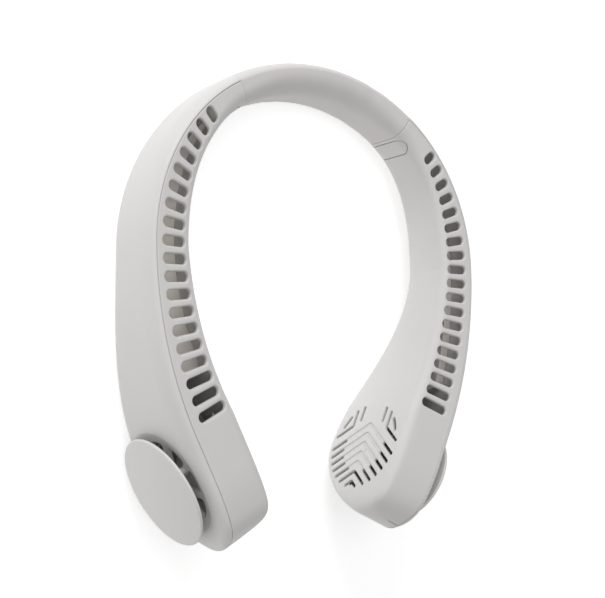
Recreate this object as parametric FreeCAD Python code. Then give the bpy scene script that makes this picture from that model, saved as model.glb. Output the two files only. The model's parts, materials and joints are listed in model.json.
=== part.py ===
"""Electric neck fan: a soft neck band between two hollow arms, each with a slotted air duct and a fan head.

Modelled in millimetres: X across the neck, Y from the fan heads to the band, Z the way the slots look.
One arm is drawn on the +X side and mirrored, then the whole fan is laid down on its heads and its band.
"""
import FreeCAD, Part
import math
import os

from FreeCAD import Vector

# Plan of the parting line, from the middle of the band round to the tip of the head
BACK_Y = 95.5
BAND_RADIUS = 101.0
SHOULDER_RADIUS = 86.0
SIDE_RADIUS = 182.5
SEAM_ANGLE = 30.8
HEAD_ANGLE = 26.5
HEAD_LENGTH = 56.8
FAN_ALONG = 21.5

# Section of the band: thickness each side of the parting line, depth of its two walls, edge radii
BAND_INSIDE = 10.3
BAND_OUTSIDE = 4.2
BAND_INNER_DEPTH = 24.0
BAND_OUTER_DEPTH = 28.0
BAND_EDGE = 4.6

# Section of the arm where the fan is widest
ARM_INSIDE = 18.6
ARM_OUTSIDE = 4.4
ARM_INNER_DEPTH = 27.0
ARM_OUTER_DEPTH = 33.0
ARM_EDGE = 6.5

# Section of the head through the fan's axis
HEAD_INSIDE = 25.0
HEAD_OUTSIDE = 5.5
HEAD_INNER_DEPTH = 58.4
HEAD_OUTER_DEPTH = 53.0
HEAD_EDGE = 6.5

# Slotted face: its height at the parting line, its lean, and how far the outer wall's rounding reaches down
FACE_RISE = 1.2
FACE_LEAN = 8.0
SHOULDER_DROP_SHARE = 1.8

# Tip of the head, where its rounded end closes
TIP_HEIGHT = -10.8
TIP_TOP_POWER = 1.8
TIP_BOTTOM_POWER = 1.68
TIP_INNER_POWER = 5.0
TIP_OUTER_POWER = 2.0

# Sections along the arm: how many on the shoulder, side and head, and the turns of the rounded end
SHOULDER_STEPS = 9
SIDE_STEPS = 7
HEAD_STEPS = 2
TIP_TURNS = (17.0, 33.0, 47.0, 59.0, 69.0, 77.5, 84.0, 88.5)
ROUND_STEPS = 4
HOLLOW_STEPS = 1
HOLLOW_STRIDE = 2

# Shell walls and gaps
WALL = 1.8
PARTING_GAP = 0.2
SEAM_GAP = 0.3

# Slots in the leaning face: counted from the widest place, with their row's distance from the parting line
SLOT_PITCH = 7.4
SLOT_WIDTH = 4.3
SLOT_ROW = 8.7
SLOTS_ABOVE = 8
SLOTS_BELOW = 10
SLOT_LENGTH_SHARE = 0.63
SLOT_CENTRE_SHARE = 0.6
SLOT_BACK = 2.4
SLOT_DEPTH = 9.0
SLOT_END_STEPS = 3

# Fan axis height and the grille on the neck side of the head
FAN_HEIGHT = -28.5
GRILLE_RADIUS = 22.4
GRILLE_OPEN_RADIUS = 14.2
GRILLE_BAR = 1.8
GRILLE_GROOVE = 0.5
GRILLE_REACH = 6.0
CHEVRONS = 7
CHEVRON_FIRST = -11.7
CHEVRON_STEP = 5.2
CHEVRON_ANGLE = 55.0
RAIL_HEIGHTS = (8.2, 12.6)
RAIL_ENDS = (-13.5, -10.0)
SLIVER_START = (-15.0, 15.8)
SLIVER_END = (-9.0, 19.2)

# Intake on the outer side of the head: a dish with windows under a floating cap
DISH_FLOOR = 3.7
DISH_FLOOR_RADIUS = 22.0
DISH_RADIUS = 26.5
WINDOWS = 9
WINDOW_INNER_RADIUS = 9.0
WINDOW_OUTER_RADIUS = 20.0
SPOKE_WIDTH = 3.6
CAP_RADIUS = 26.0
CAP_RIM = 9.1
CAP_RIM_THICKNESS = 1.6
CAP_CROWN = 2.0
CAP_ROW_SHARES = (0.97, 0.75, 0.4)
CAP_POSTS = 3
CAP_POST_CIRCLE = 17.0
CAP_POST_RADIUS = 1.6

# Clamp screw, the grip under its head, and the slack round a shank, a head or a seated piece
SCREW_RADIUS = 0.9
SCREW_HEAD_RADIUS = 1.7
SCREW_HEAD = 1.0
SCREW_GRIP = 9.0
SCREW_BITE = 1.2
FIT = 0.05
SLACK = 0.15

# Motor, given outward from its seat on the inner shell
SEAT_PAD = 0.6
BASE_RADIUS = 11.0
BASE_THICKNESS = 1.6
TUBE_RADIUS = 3.0
BEARING_RADIUS = 2.0
BEARING_LENGTH = 11.5
SHAFT_RADIUS = 0.75
SHAFT_FIT = 0.03
STATOR_RADIUS = 8.0
STATOR_THICKNESS = 5.0
STATOR_LIFT = 4.2
TEETH = 6
TOOTH_WIDTH = 1.8
CORE_RADIUS = 4.6
COIL_WRAP = 0.9
COIL_SETBACK = 0.6
RUNNING_GAP = 0.3
MAGNET_THICKNESS = 1.5
MAGNET_HEIGHT = 7.0
AIR_GAP = 0.5
YOKE_WALL = 0.8
YOKE_LIFT = 3.2

# Impeller with forward-curved blades on both sides of its web
HUB_WALL = 1.0
IMPELLER_RADIUS = 19.0
BLADE_INNER_RADIUS = 13.8
BLADE_THICKNESS = 0.7
BLADE_SWEEP = 14.0
BLADES = 12
BLADE_LIFT = 3.4
BLADE_HEIGHT = 17.5
RIM_WIDTH = 1.3
RIM_THICKNESS = 1.0
WEB_THICKNESS = 1.2
CHAMBER_GAP = 1.0

# Band core: steel strip and cable inside the soft sleeve
SLEEVE_WALL = 2.2
BAND_STEPS = 12
SPINE_OUTWARD = -1.6
SPINE_THICKNESS = 0.8
SPINE_TOP = -5.0
SPINE_BOTTOM = -18.0
CABLE_RADIUS = 1.3
CABLE_OUTWARD = -5.5
CABLE_SIDES = 6
SPINE_IN_PLUG = 7.0

# Clamp under the tongue-shaped cover beside the seam
TONGUE_WIDTH = 8.7
TONGUE_FROM_SEAM = 3.0
TONGUE_TOP = -3.0
TONGUE_REACH = -4.0
COVER_THICKNESS = 0.9
SKIN_STATIONS = 4
CLAMP_SCREW_HEIGHT = -8.0

# Shelf between the air duct and the battery bay
SHELF_TOP = -14.4
SHELF_THICKNESS = 1.2

# Cable's last runs, from the end of the shelf down under the impeller to the motor
LEAD_PAST_SHELF = 3.0
LEAD_LIFT = 1.4
LEAD_GAP = 0.3

# Battery cell under the shelf
CELL_PAST_WIDEST = 17.0
CELL_LENGTH = 40.0
CELL_INSIDE = -12.5
CELL_OUTSIDE = 0.8
CELL_HEIGHT = 8.6

# Circuit board, switch, charging port and button in the right arm
BOARD_BEFORE_HEAD = 30.0
BOARD_LENGTH = 20.0
BOARD_THICKNESS = 1.2
BOARD_OUTER_FACE = -3.2
BOARD_TOP = -18.5
BOARD_BOTTOM = -37.7
SWITCH_WIDTH = 5.2
SWITCH_THICKNESS = 1.8
SWITCH_PLUNGER_RADIUS = 1.2
SWITCH_PLUNGER = 0.6
BUTTON_HEIGHT = -24.0
BUTTON_RADIUS = 4.6
BUTTON_PROUD = 0.6
BUTTON_FLANGE = 0.9
BUTTON_FLANGE_THICKNESS = 0.8
BUTTON_STEM_RADIUS = 1.5
BUTTON_TRAVEL = 0.5
BUTTON_CLEARANCE = 0.3
PORT_WIDTH = 8.9
PORT_THICKNESS = 3.2
PORT_DEPTH = 7.4
PORT_WALL = 0.35
PORT_RECESS = 0.4
PORT_TONGUE_WIDTH = 6.6
PORT_TONGUE = 0.7

# Sides of the large round pieces
DRUM_SIDES = 16
DISH_SIDES = 36
PEG_SIDES = 8
BUTTON_SIDES = 20

# Halvings in the search for the resting tilt
REST_STEPS = 40

# Room beyond the part for cutting tools
OVERRUN = 20.0

UP = Vector(0, 0, 1)
RIGHT_ANGLE = 90.0
FULL_TURN = 360.0


def heading(angle):
    """Plan direction that leans the given angle from +Y towards +X."""
    return Vector(math.sin(math.radians(angle)), math.cos(math.radians(angle)), 0)


def polar(centre, radius, angle):
    """Point on a plan circle at an angle measured from +Y towards +X."""
    return centre + heading(angle) * radius


def line(start, end):
    return Part.LineSegment(start, end).toShape()


# Centres of the parting line's arcs, its lengths from the middle of the band, and the head's own axes
END_ANGLE = RIGHT_ANGLE + HEAD_ANGLE
BAND_CENTRE = Vector(0, BACK_Y - BAND_RADIUS, 0)
SHOULDER_CENTRE = polar(BAND_CENTRE, BAND_RADIUS - SHOULDER_RADIUS, SEAM_ANGLE)
SIDE_CENTRE = polar(SHOULDER_CENTRE, SHOULDER_RADIUS - SIDE_RADIUS, RIGHT_ANGLE)
HEAD_START = polar(SIDE_CENTRE, SIDE_RADIUS, END_ANGLE)
SEAM_AT = BAND_RADIUS * math.radians(SEAM_ANGLE)
WIDEST_AT = SEAM_AT + SHOULDER_RADIUS * math.radians(RIGHT_ANGLE - SEAM_ANGLE)
HEAD_AT = WIDEST_AT + SIDE_RADIUS * math.radians(HEAD_ANGLE)
FAN_AT = HEAD_AT + FAN_ALONG
TIP_AT = HEAD_AT + HEAD_LENGTH
OUTWARD = heading(END_ANGLE)
ALONG = OUTWARD.cross(UP)


def parting_line(length):
    """Point and outward direction of the parting line, that far round from the middle of the band."""
    if length <= SEAM_AT:
        angle = math.degrees(length / BAND_RADIUS)
        return polar(BAND_CENTRE, BAND_RADIUS, angle), heading(angle)
    if length <= WIDEST_AT:
        angle = SEAM_ANGLE + math.degrees((length - SEAM_AT) / SHOULDER_RADIUS)
        return polar(SHOULDER_CENTRE, SHOULDER_RADIUS, angle), heading(angle)
    if length <= HEAD_AT:
        angle = RIGHT_ANGLE + math.degrees((length - WIDEST_AT) / SIDE_RADIUS)
        return polar(SIDE_CENTRE, SIDE_RADIUS, angle), heading(angle)
    return HEAD_START + ALONG * (length - HEAD_AT), OUTWARD


def place(length, outward, height):
    """Point given along the parting line, outward from it and above the slot plane."""
    base, normal = parting_line(length)
    return base + normal * outward + UP * height


def ease(value, start, end):
    """0 before start, 1 after end and a smooth rise between them."""
    share = min(max((value - start) / (end - start), 0), 1)
    return share * share * (3 - 2 * share)


def between(band, arm, head, length):
    """A section size that changes smoothly from the band's through the arm's to the head's."""
    shoulder = ease(length, SEAM_AT, WIDEST_AT)
    side = ease(length, WIDEST_AT, FAN_AT)
    return band + (arm - band) * shoulder + (head - arm) * side


def inside_at(length):
    """Thickness towards the neck: it swells round the shoulder and then grows evenly down the side."""
    swell = ease(length, SEAM_AT, WIDEST_AT)
    side = min(max((length - WIDEST_AT) / (HEAD_AT - WIDEST_AT), 0), 1)
    return BAND_INSIDE + (ARM_INSIDE - BAND_INSIDE) * swell + (HEAD_INSIDE - ARM_INSIDE) * side


def closing(length, power, end):
    """Share of a section's reach that is left past the fan's axis, as the head's end closes."""
    share = max(length - FAN_AT, 0) / (end - FAN_AT)
    return (1 - share**power) ** (1 / power)


def section(length, inset=0.0):
    """Sizes of the section at a place along the arm, drawn in by inset.

    They are the reach inside and outside, the top, the face's lean, the two bottoms and the edge radius.
    """
    end = TIP_AT - inset
    inside = inside_at(length) - inset
    outside = between(BAND_OUTSIDE, ARM_OUTSIDE, HEAD_OUTSIDE, length) - inset
    top = FACE_RISE - inset
    inner = inset - between(BAND_INNER_DEPTH, ARM_INNER_DEPTH, HEAD_INNER_DEPTH, length)
    outer = inset - between(BAND_OUTER_DEPTH, ARM_OUTER_DEPTH, HEAD_OUTER_DEPTH, length)
    edge = between(BAND_EDGE, ARM_EDGE, HEAD_EDGE, length) - inset
    low = closing(length, TIP_BOTTOM_POWER, end)
    narrow = closing(length, TIP_INNER_POWER, end)
    return {
        "inside": inside * narrow,
        "outside": outside * closing(length, TIP_OUTER_POWER, end),
        "top": TIP_HEIGHT + (top - TIP_HEIGHT) * closing(length, TIP_TOP_POWER, end),
        "lean": inside * math.tan(math.radians(FACE_LEAN)) * min(low, narrow),
        "inner": TIP_HEIGHT + (inner - TIP_HEIGHT) * low,
        "outer": TIP_HEIGHT + (outer - TIP_HEIGHT) * low,
        "edge": edge * min(low, narrow),
    }


def corner_arc(before, corner, after, radius):
    """First, middle and last point of the tangent arc that rounds a corner."""
    back = (before - corner).normalize()
    forth = (after - corner).normalize()
    half = back.getAngle(forth) / 2
    reach = radius / math.tan(half)
    middle = corner + (back + forth).normalize() * (radius / math.sin(half) - radius)
    return corner + back * reach, middle, corner + forth * reach


def corner_points(before, corner, after, radius, steps):
    """Points along the tangent arc that rounds a corner, both ends included."""
    first, middle, last = corner_arc(before, corner, after, radius)
    return Part.Arc(first, middle, last).discretize(steps + 1)


def section_row(length, inset, steps):
    """Points round the section: the crease, three round corners and the rounded outer shoulder."""
    size = section(length, inset)
    drop = size["outside"] * SHOULDER_DROP_SHARE
    radius = (size["outside"] ** 2 + drop**2) / (2 * size["outside"])
    sweep = math.asin(drop / radius)
    corners = [
        place(length, 0, size["top"]),
        place(length, -size["inside"], size["top"] - size["lean"]),
        place(length, -size["inside"], size["inner"]),
        place(length, size["outside"], size["outer"]),
        place(length, size["outside"], size["top"] - drop),
    ]
    row = corners[:1]
    for before, corner, after in zip(corners, corners[1:], corners[2:]):
        row += corner_points(before, corner, after, size["edge"], steps)
    for step in range(steps):
        turn = sweep * step / steps
        outward = size["outside"] - radius + radius * math.cos(turn)
        row.append(place(length, outward, size["top"] - drop + radius * math.sin(turn)))
    return row


def flat(*points):
    return Part.Face(Part.makePolygon(list(points) + [points[0]]))


def faceted_loft(rows):
    """Loft through rows of as many points each, skinned with flat triangles and closed at both ends."""
    faces = [flat(*rows[0]), flat(*rows[-1])]
    for row, after in zip(rows, rows[1:]):
        for i in range(len(row)):
            faces.append(flat(row[i - 1], row[i], after[i]))
            faces.append(flat(row[i - 1], after[i], after[i - 1]))
    shell = Part.makeShell(faces)
    shell.sewShape()
    solid = Part.makeSolid(shell)
    if solid.Volume < 0:
        solid.reverse()
    return solid


def stations(start, inset=0.0):
    """Lengths at which the arm's sections stand, from a start near the seam to the tip."""
    shoulder = [start + (WIDEST_AT - start) * i / SHOULDER_STEPS for i in range(SHOULDER_STEPS)]
    side = [WIDEST_AT + (HEAD_AT - WIDEST_AT) * i / SIDE_STEPS for i in range(SIDE_STEPS)]
    head = [HEAD_AT + FAN_ALONG * i / HEAD_STEPS for i in range(HEAD_STEPS + 1)]
    reach = TIP_AT - inset - FAN_AT
    return shoulder + side + head + [FAN_AT + reach * math.sin(math.radians(turn)) for turn in TIP_TURNS]


def arm_form():
    """The arm's rounded outer form as one solid."""
    return faceted_loft([section_row(at, 0, ROUND_STEPS) for at in stations(SEAM_AT)])


def hollow_places():
    """Lengths at which the hollow's sections stand; what seats in the hollow uses the same ones."""
    places = stations(SEAM_AT, WALL)
    return [SEAM_AT - SEAM_GAP] + places[HOLLOW_STRIDE:-1:HOLLOW_STRIDE] + places[-1:]


def arm_hollow():
    """The air space and bays inside the arm, open at the seam."""
    return faceted_loft([section_row(at, WALL, HOLLOW_STEPS) for at in hollow_places()])


def parting_region(offset):
    """Everything outside the parting line, moved outward by offset, as one tall block."""
    path = [place(at, offset, 0) for at in [SEAM_AT - OVERRUN] + stations(SEAM_AT) + [TIP_AT + OVERRUN]]
    far = SIDE_RADIUS
    corner = Vector(path[-1].x + far, path[-1].y, 0)
    top = Vector(corner.x, path[0].y + far, 0)
    depth = HEAD_INNER_DEPTH + OVERRUN
    face = flat(*path, corner, top, Vector(path[0].x, top.y, 0))
    return face.extrude(UP * (depth + OVERRUN)).translated(UP * -depth)


def slot_places():
    """Lengths along the parting line of the slots, evenly spaced along their own row."""
    above = SLOT_PITCH * SHOULDER_RADIUS / (SHOULDER_RADIUS - SLOT_ROW)
    below = SLOT_PITCH * SIDE_RADIUS / (SIDE_RADIUS - SLOT_ROW)
    places = [WIDEST_AT - above * count for count in range(SLOTS_ABOVE, 0, -1)]
    return places + [WIDEST_AT + below * count for count in range(SLOTS_BELOW + 1)]


def stadium(centre, long_way, short_way, length, width):
    """Round-ended slot outline as a face, its ends drawn with short straight runs."""
    points = []
    for end in (1, -1):
        for step in range(SLOT_END_STEPS + 1):
            turn = math.pi * step / SLOT_END_STEPS
            around = long_way * math.sin(turn) + short_way * math.cos(turn)
            points.append(centre + (long_way * (length - width) / 2 + around * width / 2) * end)
    return flat(*points)


def slot_cutters():
    cutters = []
    for at in slot_places():
        inside = inside_at(at)
        base, outward = parting_line(at)
        centre = base - outward * (inside * SLOT_CENTRE_SHARE - SLOT_BACK) - UP * SLOT_DEPTH
        face = stadium(centre, outward, outward.cross(UP), inside * SLOT_LENGTH_SHARE, SLOT_WIDTH)
        cutters.append(face.extrude(UP * (SLOT_DEPTH + OVERRUN)))
    return cutters


# Fan axis: the head's outward direction through this point on the parting line
FAN_CENTRE = HEAD_START + ALONG * FAN_ALONG + UP * FAN_HEIGHT


def fan_point(along, outward, height):
    """Point given from the fan's axis."""
    return FAN_CENTRE + ALONG * along + OUTWARD * outward + UP * height


def on_circle(radius, turn, outward):
    """Point on a circle round the fan's axis; turn 0 is towards the tip, 90 is up."""
    angle = math.radians(turn)
    return fan_point(radius * math.cos(angle), outward, radius * math.sin(angle))


def disc(radius, low, high):
    """Cylinder along the fan's axis between two outward places."""
    return Part.makeCylinder(radius, high - low, fan_point(0, low, 0), OUTWARD)


def drum(radius, low, high, sides):
    """Many-sided prism round the fan's axis between two outward places."""
    corners = [on_circle(radius, FULL_TURN / sides * side, low) for side in range(sides)]
    return flat(*corners).extrude(OUTWARD * (high - low))


def ring(inner, outer, low, high):
    return drum(outer, low, high, DRUM_SIDES).cut(drum(inner, low - OVERRUN, high + OVERRUN, DRUM_SIDES))


def spun(profile):
    """Solid of (radius, outward) rows turned round the fan's axis with many flat sides."""
    turns = [FULL_TURN / DISH_SIDES * side for side in range(DISH_SIDES)]
    return faceted_loft([[on_circle(radius, turn, outward) for turn in turns] for radius, outward in profile])


def prism(base, direction, radius, length, sides):
    """Small round piece or hole with a few flat sides along a level direction."""
    across = direction.cross(UP)
    turns = [math.radians(FULL_TURN / sides * side) for side in range(sides)]
    corners = [base + (across * math.cos(turn) + UP * math.sin(turn)) * radius for turn in turns]
    return flat(*corners).extrude(direction * length)


def grille_bar(start, end, low, high):
    """Straight bar of the grille pattern between two (along, height) places."""
    a = fan_point(start[0], low, start[1])
    b = fan_point(end[0], low, end[1])
    side = (b - a).normalize().cross(OUTWARD) * (GRILLE_BAR / 2)
    return flat(a + side, b + side, b - side, a - side).extrude(OUTWARD * (high - low))


def to_circle(start, direction, radius):
    """Place where a ray in the grille's plane leaves a circle round the fan's axis."""
    inward = start[0] * direction[0] + start[1] * direction[1]
    reach = math.sqrt(inward**2 - start[0] ** 2 - start[1] ** 2 + radius**2) - inward
    return start[0] + direction[0] * reach, start[1] + direction[1] * reach


def grille_cutters():
    """Pattern of the grille: chevrons that point to the band, rails beside them and slots past each bend.

    A line cuts through the wall in the outer ring and goes on over the middle as a shallow groove.
    """
    angle = math.radians(CHEVRON_ANGLE)
    open_range = (INNER_FACE - WALL, INNER_FACE + GRILLE_REACH)
    groove_range = (INNER_FACE - WALL, INNER_FACE + GRILLE_GROOVE)
    bars = []
    for side in (1, -1):
        slant = (math.cos(angle), side * math.sin(angle))
        for count in range(CHEVRONS):
            apex = (CHEVRON_FIRST + CHEVRON_STEP * count, 0)
            rim = to_circle(apex, slant, GRILLE_RADIUS)
            start = apex
            if apex[0] < GRILLE_OPEN_RADIUS:
                start = to_circle(apex, slant, GRILLE_OPEN_RADIUS)
                bars.append(grille_bar(apex, start, *groove_range))
            bars.append(grille_bar(start, rim, *open_range))
        for height, end in zip(RAIL_HEIGHTS, RAIL_ENDS):
            rim = to_circle((end, side * height), (-1, 0), GRILLE_RADIUS)
            bars.append(grille_bar((end, side * height), rim, *open_range))
        knee = (RAIL_ENDS[-1], side * RAIL_HEIGHTS[-1])
        bars.append(grille_bar(knee, to_circle(knee, slant, GRILLE_RADIUS), *open_range))
        sliver = [(along, side * height) for along, height in (SLIVER_START, SLIVER_END)]
        bars.append(grille_bar(*sliver, *open_range))
    return bars


# Seats along the fan's axis
INNER_FACE = -HEAD_INSIDE
MOTOR_SEAT = INNER_FACE + WALL + SEAT_PAD
DISH_BACK = DISH_FLOOR - WALL


def post_turns():
    return [FULL_TURN / CAP_POSTS * count for count in range(CAP_POSTS)]


def clamp_point(outward, height):
    return place(SEAM_AT + TONGUE_FROM_SEAM + TONGUE_WIDTH / 2, outward, height)


CLAMP_OUTWARD = parting_line(SEAM_AT + TONGUE_FROM_SEAM + TONGUE_WIDTH / 2)[1]
CLAMP_SEAT = BAND_OUTSIDE - WALL


def clamp_hole(radius, low, high):
    """Round hole on the clamp screw's axis, between two places counted from the outer shell's inner face."""
    start = clamp_point(CLAMP_SEAT + low, CLAMP_SCREW_HEIGHT)
    return prism(start, CLAMP_OUTWARD, radius, high - low, PEG_SIDES)


def tongue_prism(slack):
    """Round-ended prism that cuts the tongue out of the inner wall, open at the bottom."""
    forward = CLAMP_OUTWARD.cross(UP)
    half = TONGUE_WIDTH / 2 + slack
    shoulder = TONGUE_TOP - TONGUE_WIDTH / 2
    base = clamp_point(TONGUE_REACH, 0)
    foot = -HEAD_INNER_DEPTH
    a, b = base - forward * half + UP * foot, base - forward * half + UP * shoulder
    c, d = base + forward * half + UP * shoulder, base + forward * half + UP * foot
    edges = [line(a, b), Part.Arc(b, base + UP * (shoulder + half), c).toShape(), line(c, d), line(d, a)]
    return Part.Face(Part.Wire(edges)).extrude(CLAMP_OUTWARD * -OVERRUN)


def skin(thickness):
    """Outermost layer of the arm near the seam."""
    places = stations(SEAM_AT)[:SKIN_STATIONS]
    full = faceted_loft([section_row(at, 0, ROUND_STEPS) for at in places])
    core = faceted_loft([section_row(at, thickness, ROUND_STEPS) for at in places])
    return full.cut(core)


def box_at(length, along, outward, height):
    """Box square to the parting line; along, outward and height are (low, high) pairs."""
    base, normal = parting_line(length)
    forward = normal.cross(UP)
    spots = [(along[0], outward[0]), (along[1], outward[0]), (along[1], outward[1]), (along[0], outward[1])]
    corners = [base + forward * a + normal * n + UP * height[0] for a, n in spots]
    return flat(*corners).extrude(UP * (height[1] - height[0]))


def window_cutters():
    """Straight-sided windows of the dish, with an even spoke between neighbours."""
    share = math.pi / WINDOWS
    cutters = []
    for count in range(WINDOWS):
        turn = FULL_TURN / WINDOWS * (count + 1 / 2)
        corners = []
        inner, outer = WINDOW_INNER_RADIUS, WINDOW_OUTER_RADIUS
        for radius, sign in ((inner, -1), (outer, -1), (outer, 1), (inner, 1)):
            half = share - math.asin(SPOKE_WIDTH / 2 / radius)
            corners.append(on_circle(radius, turn + math.degrees(half) * sign, DISH_BACK - WALL))
        cutters.append(flat(*corners).extrude(OUTWARD * (WALL * 3)))
    return cutters


def make_shells(form, hollow):
    """Outer and inner shell of one arm, split along the parting line, with dish, grille, slots and seats."""
    tube = form.cut(hollow)
    block = drum(DISH_RADIUS + WALL, DISH_BACK, HEAD_OUTSIDE, DISH_SIDES).common(form)
    outer = tube.common(parting_region(PARTING_GAP)).fuse(block)
    dish = spun([
        (DISH_FLOOR_RADIUS, DISH_FLOOR),
        (DISH_RADIUS, HEAD_OUTSIDE),
        (DISH_RADIUS, HEAD_OUTSIDE + WALL),
    ])
    outer = outer.cut([dish] + window_cutters())
    outer = outer.cut(clamp_hole(SCREW_RADIUS + FIT, -SCREW_GRIP, SCREW_BITE))

    inner = tube.cut(parting_region(0))
    inner = inner.fuse(drum(BASE_RADIUS + WALL, INNER_FACE + WALL / 2, MOTOR_SEAT, DRUM_SIDES))
    blade_low = MOTOR_SEAT + BLADE_LIFT - CHAMBER_GAP
    cuts = slot_cutters() + grille_cutters()
    cuts.append(drum(BASE_RADIUS + SLACK, MOTOR_SEAT, DISH_BACK, DRUM_SIDES))
    cuts.append(drum(IMPELLER_RADIUS + CHAMBER_GAP, blade_low, DISH_BACK, DRUM_SIDES))
    cuts.append(clamp_hole(SCREW_HEAD_RADIUS + SLACK, -OVERRUN, -SCREW_GRIP))
    cuts.append(skin(COVER_THICKNESS + SLACK).common(tongue_prism(SLACK)))
    return outer, inner.cut(cuts)


def make_cap():
    """Domed intake cap on three posts whose tenons sit in the dish floor."""
    top = CAP_RIM + CAP_RIM_THICKNESS
    edge = CAP_RIM_THICKNESS / 2
    rows = [(CAP_RADIUS - edge, CAP_RIM), (CAP_RADIUS, CAP_RIM + edge), (CAP_RADIUS, top)]
    for share in CAP_ROW_SHARES:
        rows.append((CAP_RADIUS * share, top + CAP_CROWN * (1 - share**2)))
    cap = spun(rows)
    posts = []
    for turn in post_turns():
        foot = on_circle(CAP_POST_CIRCLE, turn, DISH_FLOOR)
        posts.append(prism(foot, OUTWARD, CAP_POST_RADIUS, CAP_RIM - DISH_FLOOR, PEG_SIDES))
    return cap.multiFuse(posts).removeSplitter()


# Levels of the motor along the fan's axis
BASE_TOP = MOTOR_SEAT + BASE_THICKNESS
TUBE_TOP = BASE_TOP + BEARING_LENGTH
YOKE_BOTTOM = MOTOR_SEAT + YOKE_LIFT
YOKE_TOP = TUBE_TOP + RUNNING_GAP + YOKE_WALL
YOKE_INNER_RADIUS = STATOR_RADIUS + AIR_GAP + MAGNET_THICKNESS
YOKE_RADIUS = YOKE_INNER_RADIUS + YOKE_WALL
STATOR_LOW = MOTOR_SEAT + STATOR_LIFT
STATOR_HIGH = STATOR_LOW + STATOR_THICKNESS


def spoke_box(turn, near, far, width, low, high):
    """Box that points away from the fan's axis."""
    angle = math.radians(turn)
    ray = ALONG * math.cos(angle) + UP * math.sin(angle)
    side = ray.cross(OUTWARD) * (width / 2)
    start = fan_point(0, low, 0) + ray * near
    end = fan_point(0, low, 0) + ray * far
    return flat(start - side, start + side, end + side, end - side).extrude(OUTWARD * (high - low))


def tooth_turns():
    return [FULL_TURN / TEETH * count for count in range(TEETH)]


def make_motor():
    """Motor pieces from the seat outward: base with tube, bearing, stator, and the rotor on its shaft."""
    base = drum(BASE_RADIUS, MOTOR_SEAT, BASE_TOP, DRUM_SIDES)
    base = base.fuse(drum(TUBE_RADIUS, BASE_TOP, TUBE_TOP, DRUM_SIDES))
    base = base.cut(drum(BEARING_RADIUS + FIT, BASE_TOP, TUBE_TOP + OVERRUN, DRUM_SIDES))
    bearing = drum(BEARING_RADIUS, BASE_TOP, TUBE_TOP, DRUM_SIDES)
    bearing = bearing.cut(disc(SHAFT_RADIUS + SHAFT_FIT, BASE_TOP - OVERRUN, TUBE_TOP + OVERRUN))
    core = drum(CORE_RADIUS, STATOR_LOW, STATOR_HIGH, DRUM_SIDES)
    coils = []
    for turn in tooth_turns():
        core = core.fuse(spoke_box(turn, TUBE_RADIUS, STATOR_RADIUS, TOOTH_WIDTH, STATOR_LOW, STATOR_HIGH))
        near, far = CORE_RADIUS + SLACK, STATOR_RADIUS - COIL_SETBACK
        width = TOOTH_WIDTH + 2 * COIL_WRAP
        outside = spoke_box(turn, near, far, width, STATOR_LOW - COIL_WRAP, STATOR_HIGH + COIL_WRAP)
        slot = spoke_box(turn, 0, IMPELLER_RADIUS, TOOTH_WIDTH + 2 * FIT, STATOR_LOW - FIT, STATOR_HIGH + FIT)
        coils.append(outside.cut(slot))
    core_bore = drum(TUBE_RADIUS + FIT, STATOR_LOW - OVERRUN, STATOR_HIGH + OVERRUN, DRUM_SIDES)
    core = core.cut(core_bore).removeSplitter()
    shaft = disc(SHAFT_RADIUS, BASE_TOP + RUNNING_GAP, YOKE_TOP)
    yoke = ring(YOKE_INNER_RADIUS, YOKE_RADIUS, YOKE_BOTTOM, YOKE_TOP - YOKE_WALL)
    plate = drum(YOKE_RADIUS, YOKE_TOP - YOKE_WALL, YOKE_TOP, DRUM_SIDES)
    yoke = yoke.fuse(plate).cut(disc(SHAFT_RADIUS + FIT, YOKE_BOTTOM, YOKE_TOP + OVERRUN)).removeSplitter()
    magnet_low = YOKE_BOTTOM + YOKE_WALL
    magnet = ring(STATOR_RADIUS + AIR_GAP, YOKE_INNER_RADIUS - FIT, magnet_low, magnet_low + MAGNET_HEIGHT)
    return {
        "motor_base": base,
        "motor_bearing": bearing,
        "stator_core": core,
        "stator_coils": Part.makeCompound(coils),
        "motor_shaft": shaft,
        "rotor_yoke": yoke,
        "magnet_ring": magnet,
    }


def make_impeller():
    """Blower wheel: a hub cup over the rotor, a web, swept blades and a rim at each end of the blades."""
    low = MOTOR_SEAT + BLADE_LIFT
    high = low + BLADE_HEIGHT
    hub_radius = YOKE_RADIUS + FIT + HUB_WALL
    web_low = (low + high - WEB_THICKNESS) / 2
    hub = drum(hub_radius, web_low, YOKE_TOP + HUB_WALL, DRUM_SIDES)
    web = drum(IMPELLER_RADIUS, web_low, web_low + WEB_THICKNESS, DRUM_SIDES)
    rims = [ring(IMPELLER_RADIUS - RIM_WIDTH, IMPELLER_RADIUS, low, low + RIM_THICKNESS)]
    rims.append(ring(IMPELLER_RADIUS - RIM_WIDTH, IMPELLER_RADIUS, high - RIM_THICKNESS, high))
    blades = []
    for count in range(BLADES):
        turn = FULL_TURN / BLADES * count
        root = on_circle(BLADE_INNER_RADIUS, turn, low)
        tip = on_circle(IMPELLER_RADIUS - RIM_WIDTH / 2, turn + BLADE_SWEEP, low)
        side = (tip - root).normalize().cross(OUTWARD) * (BLADE_THICKNESS / 2)
        blades.append(flat(root - side, root + side, tip + side, tip - side).extrude(OUTWARD * BLADE_HEIGHT))
    wheel = hub.multiFuse([web] + rims + blades)
    return wheel.cut(drum(YOKE_RADIUS + FIT, web_low - OVERRUN, YOKE_TOP, DRUM_SIDES)).removeSplitter()


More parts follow.
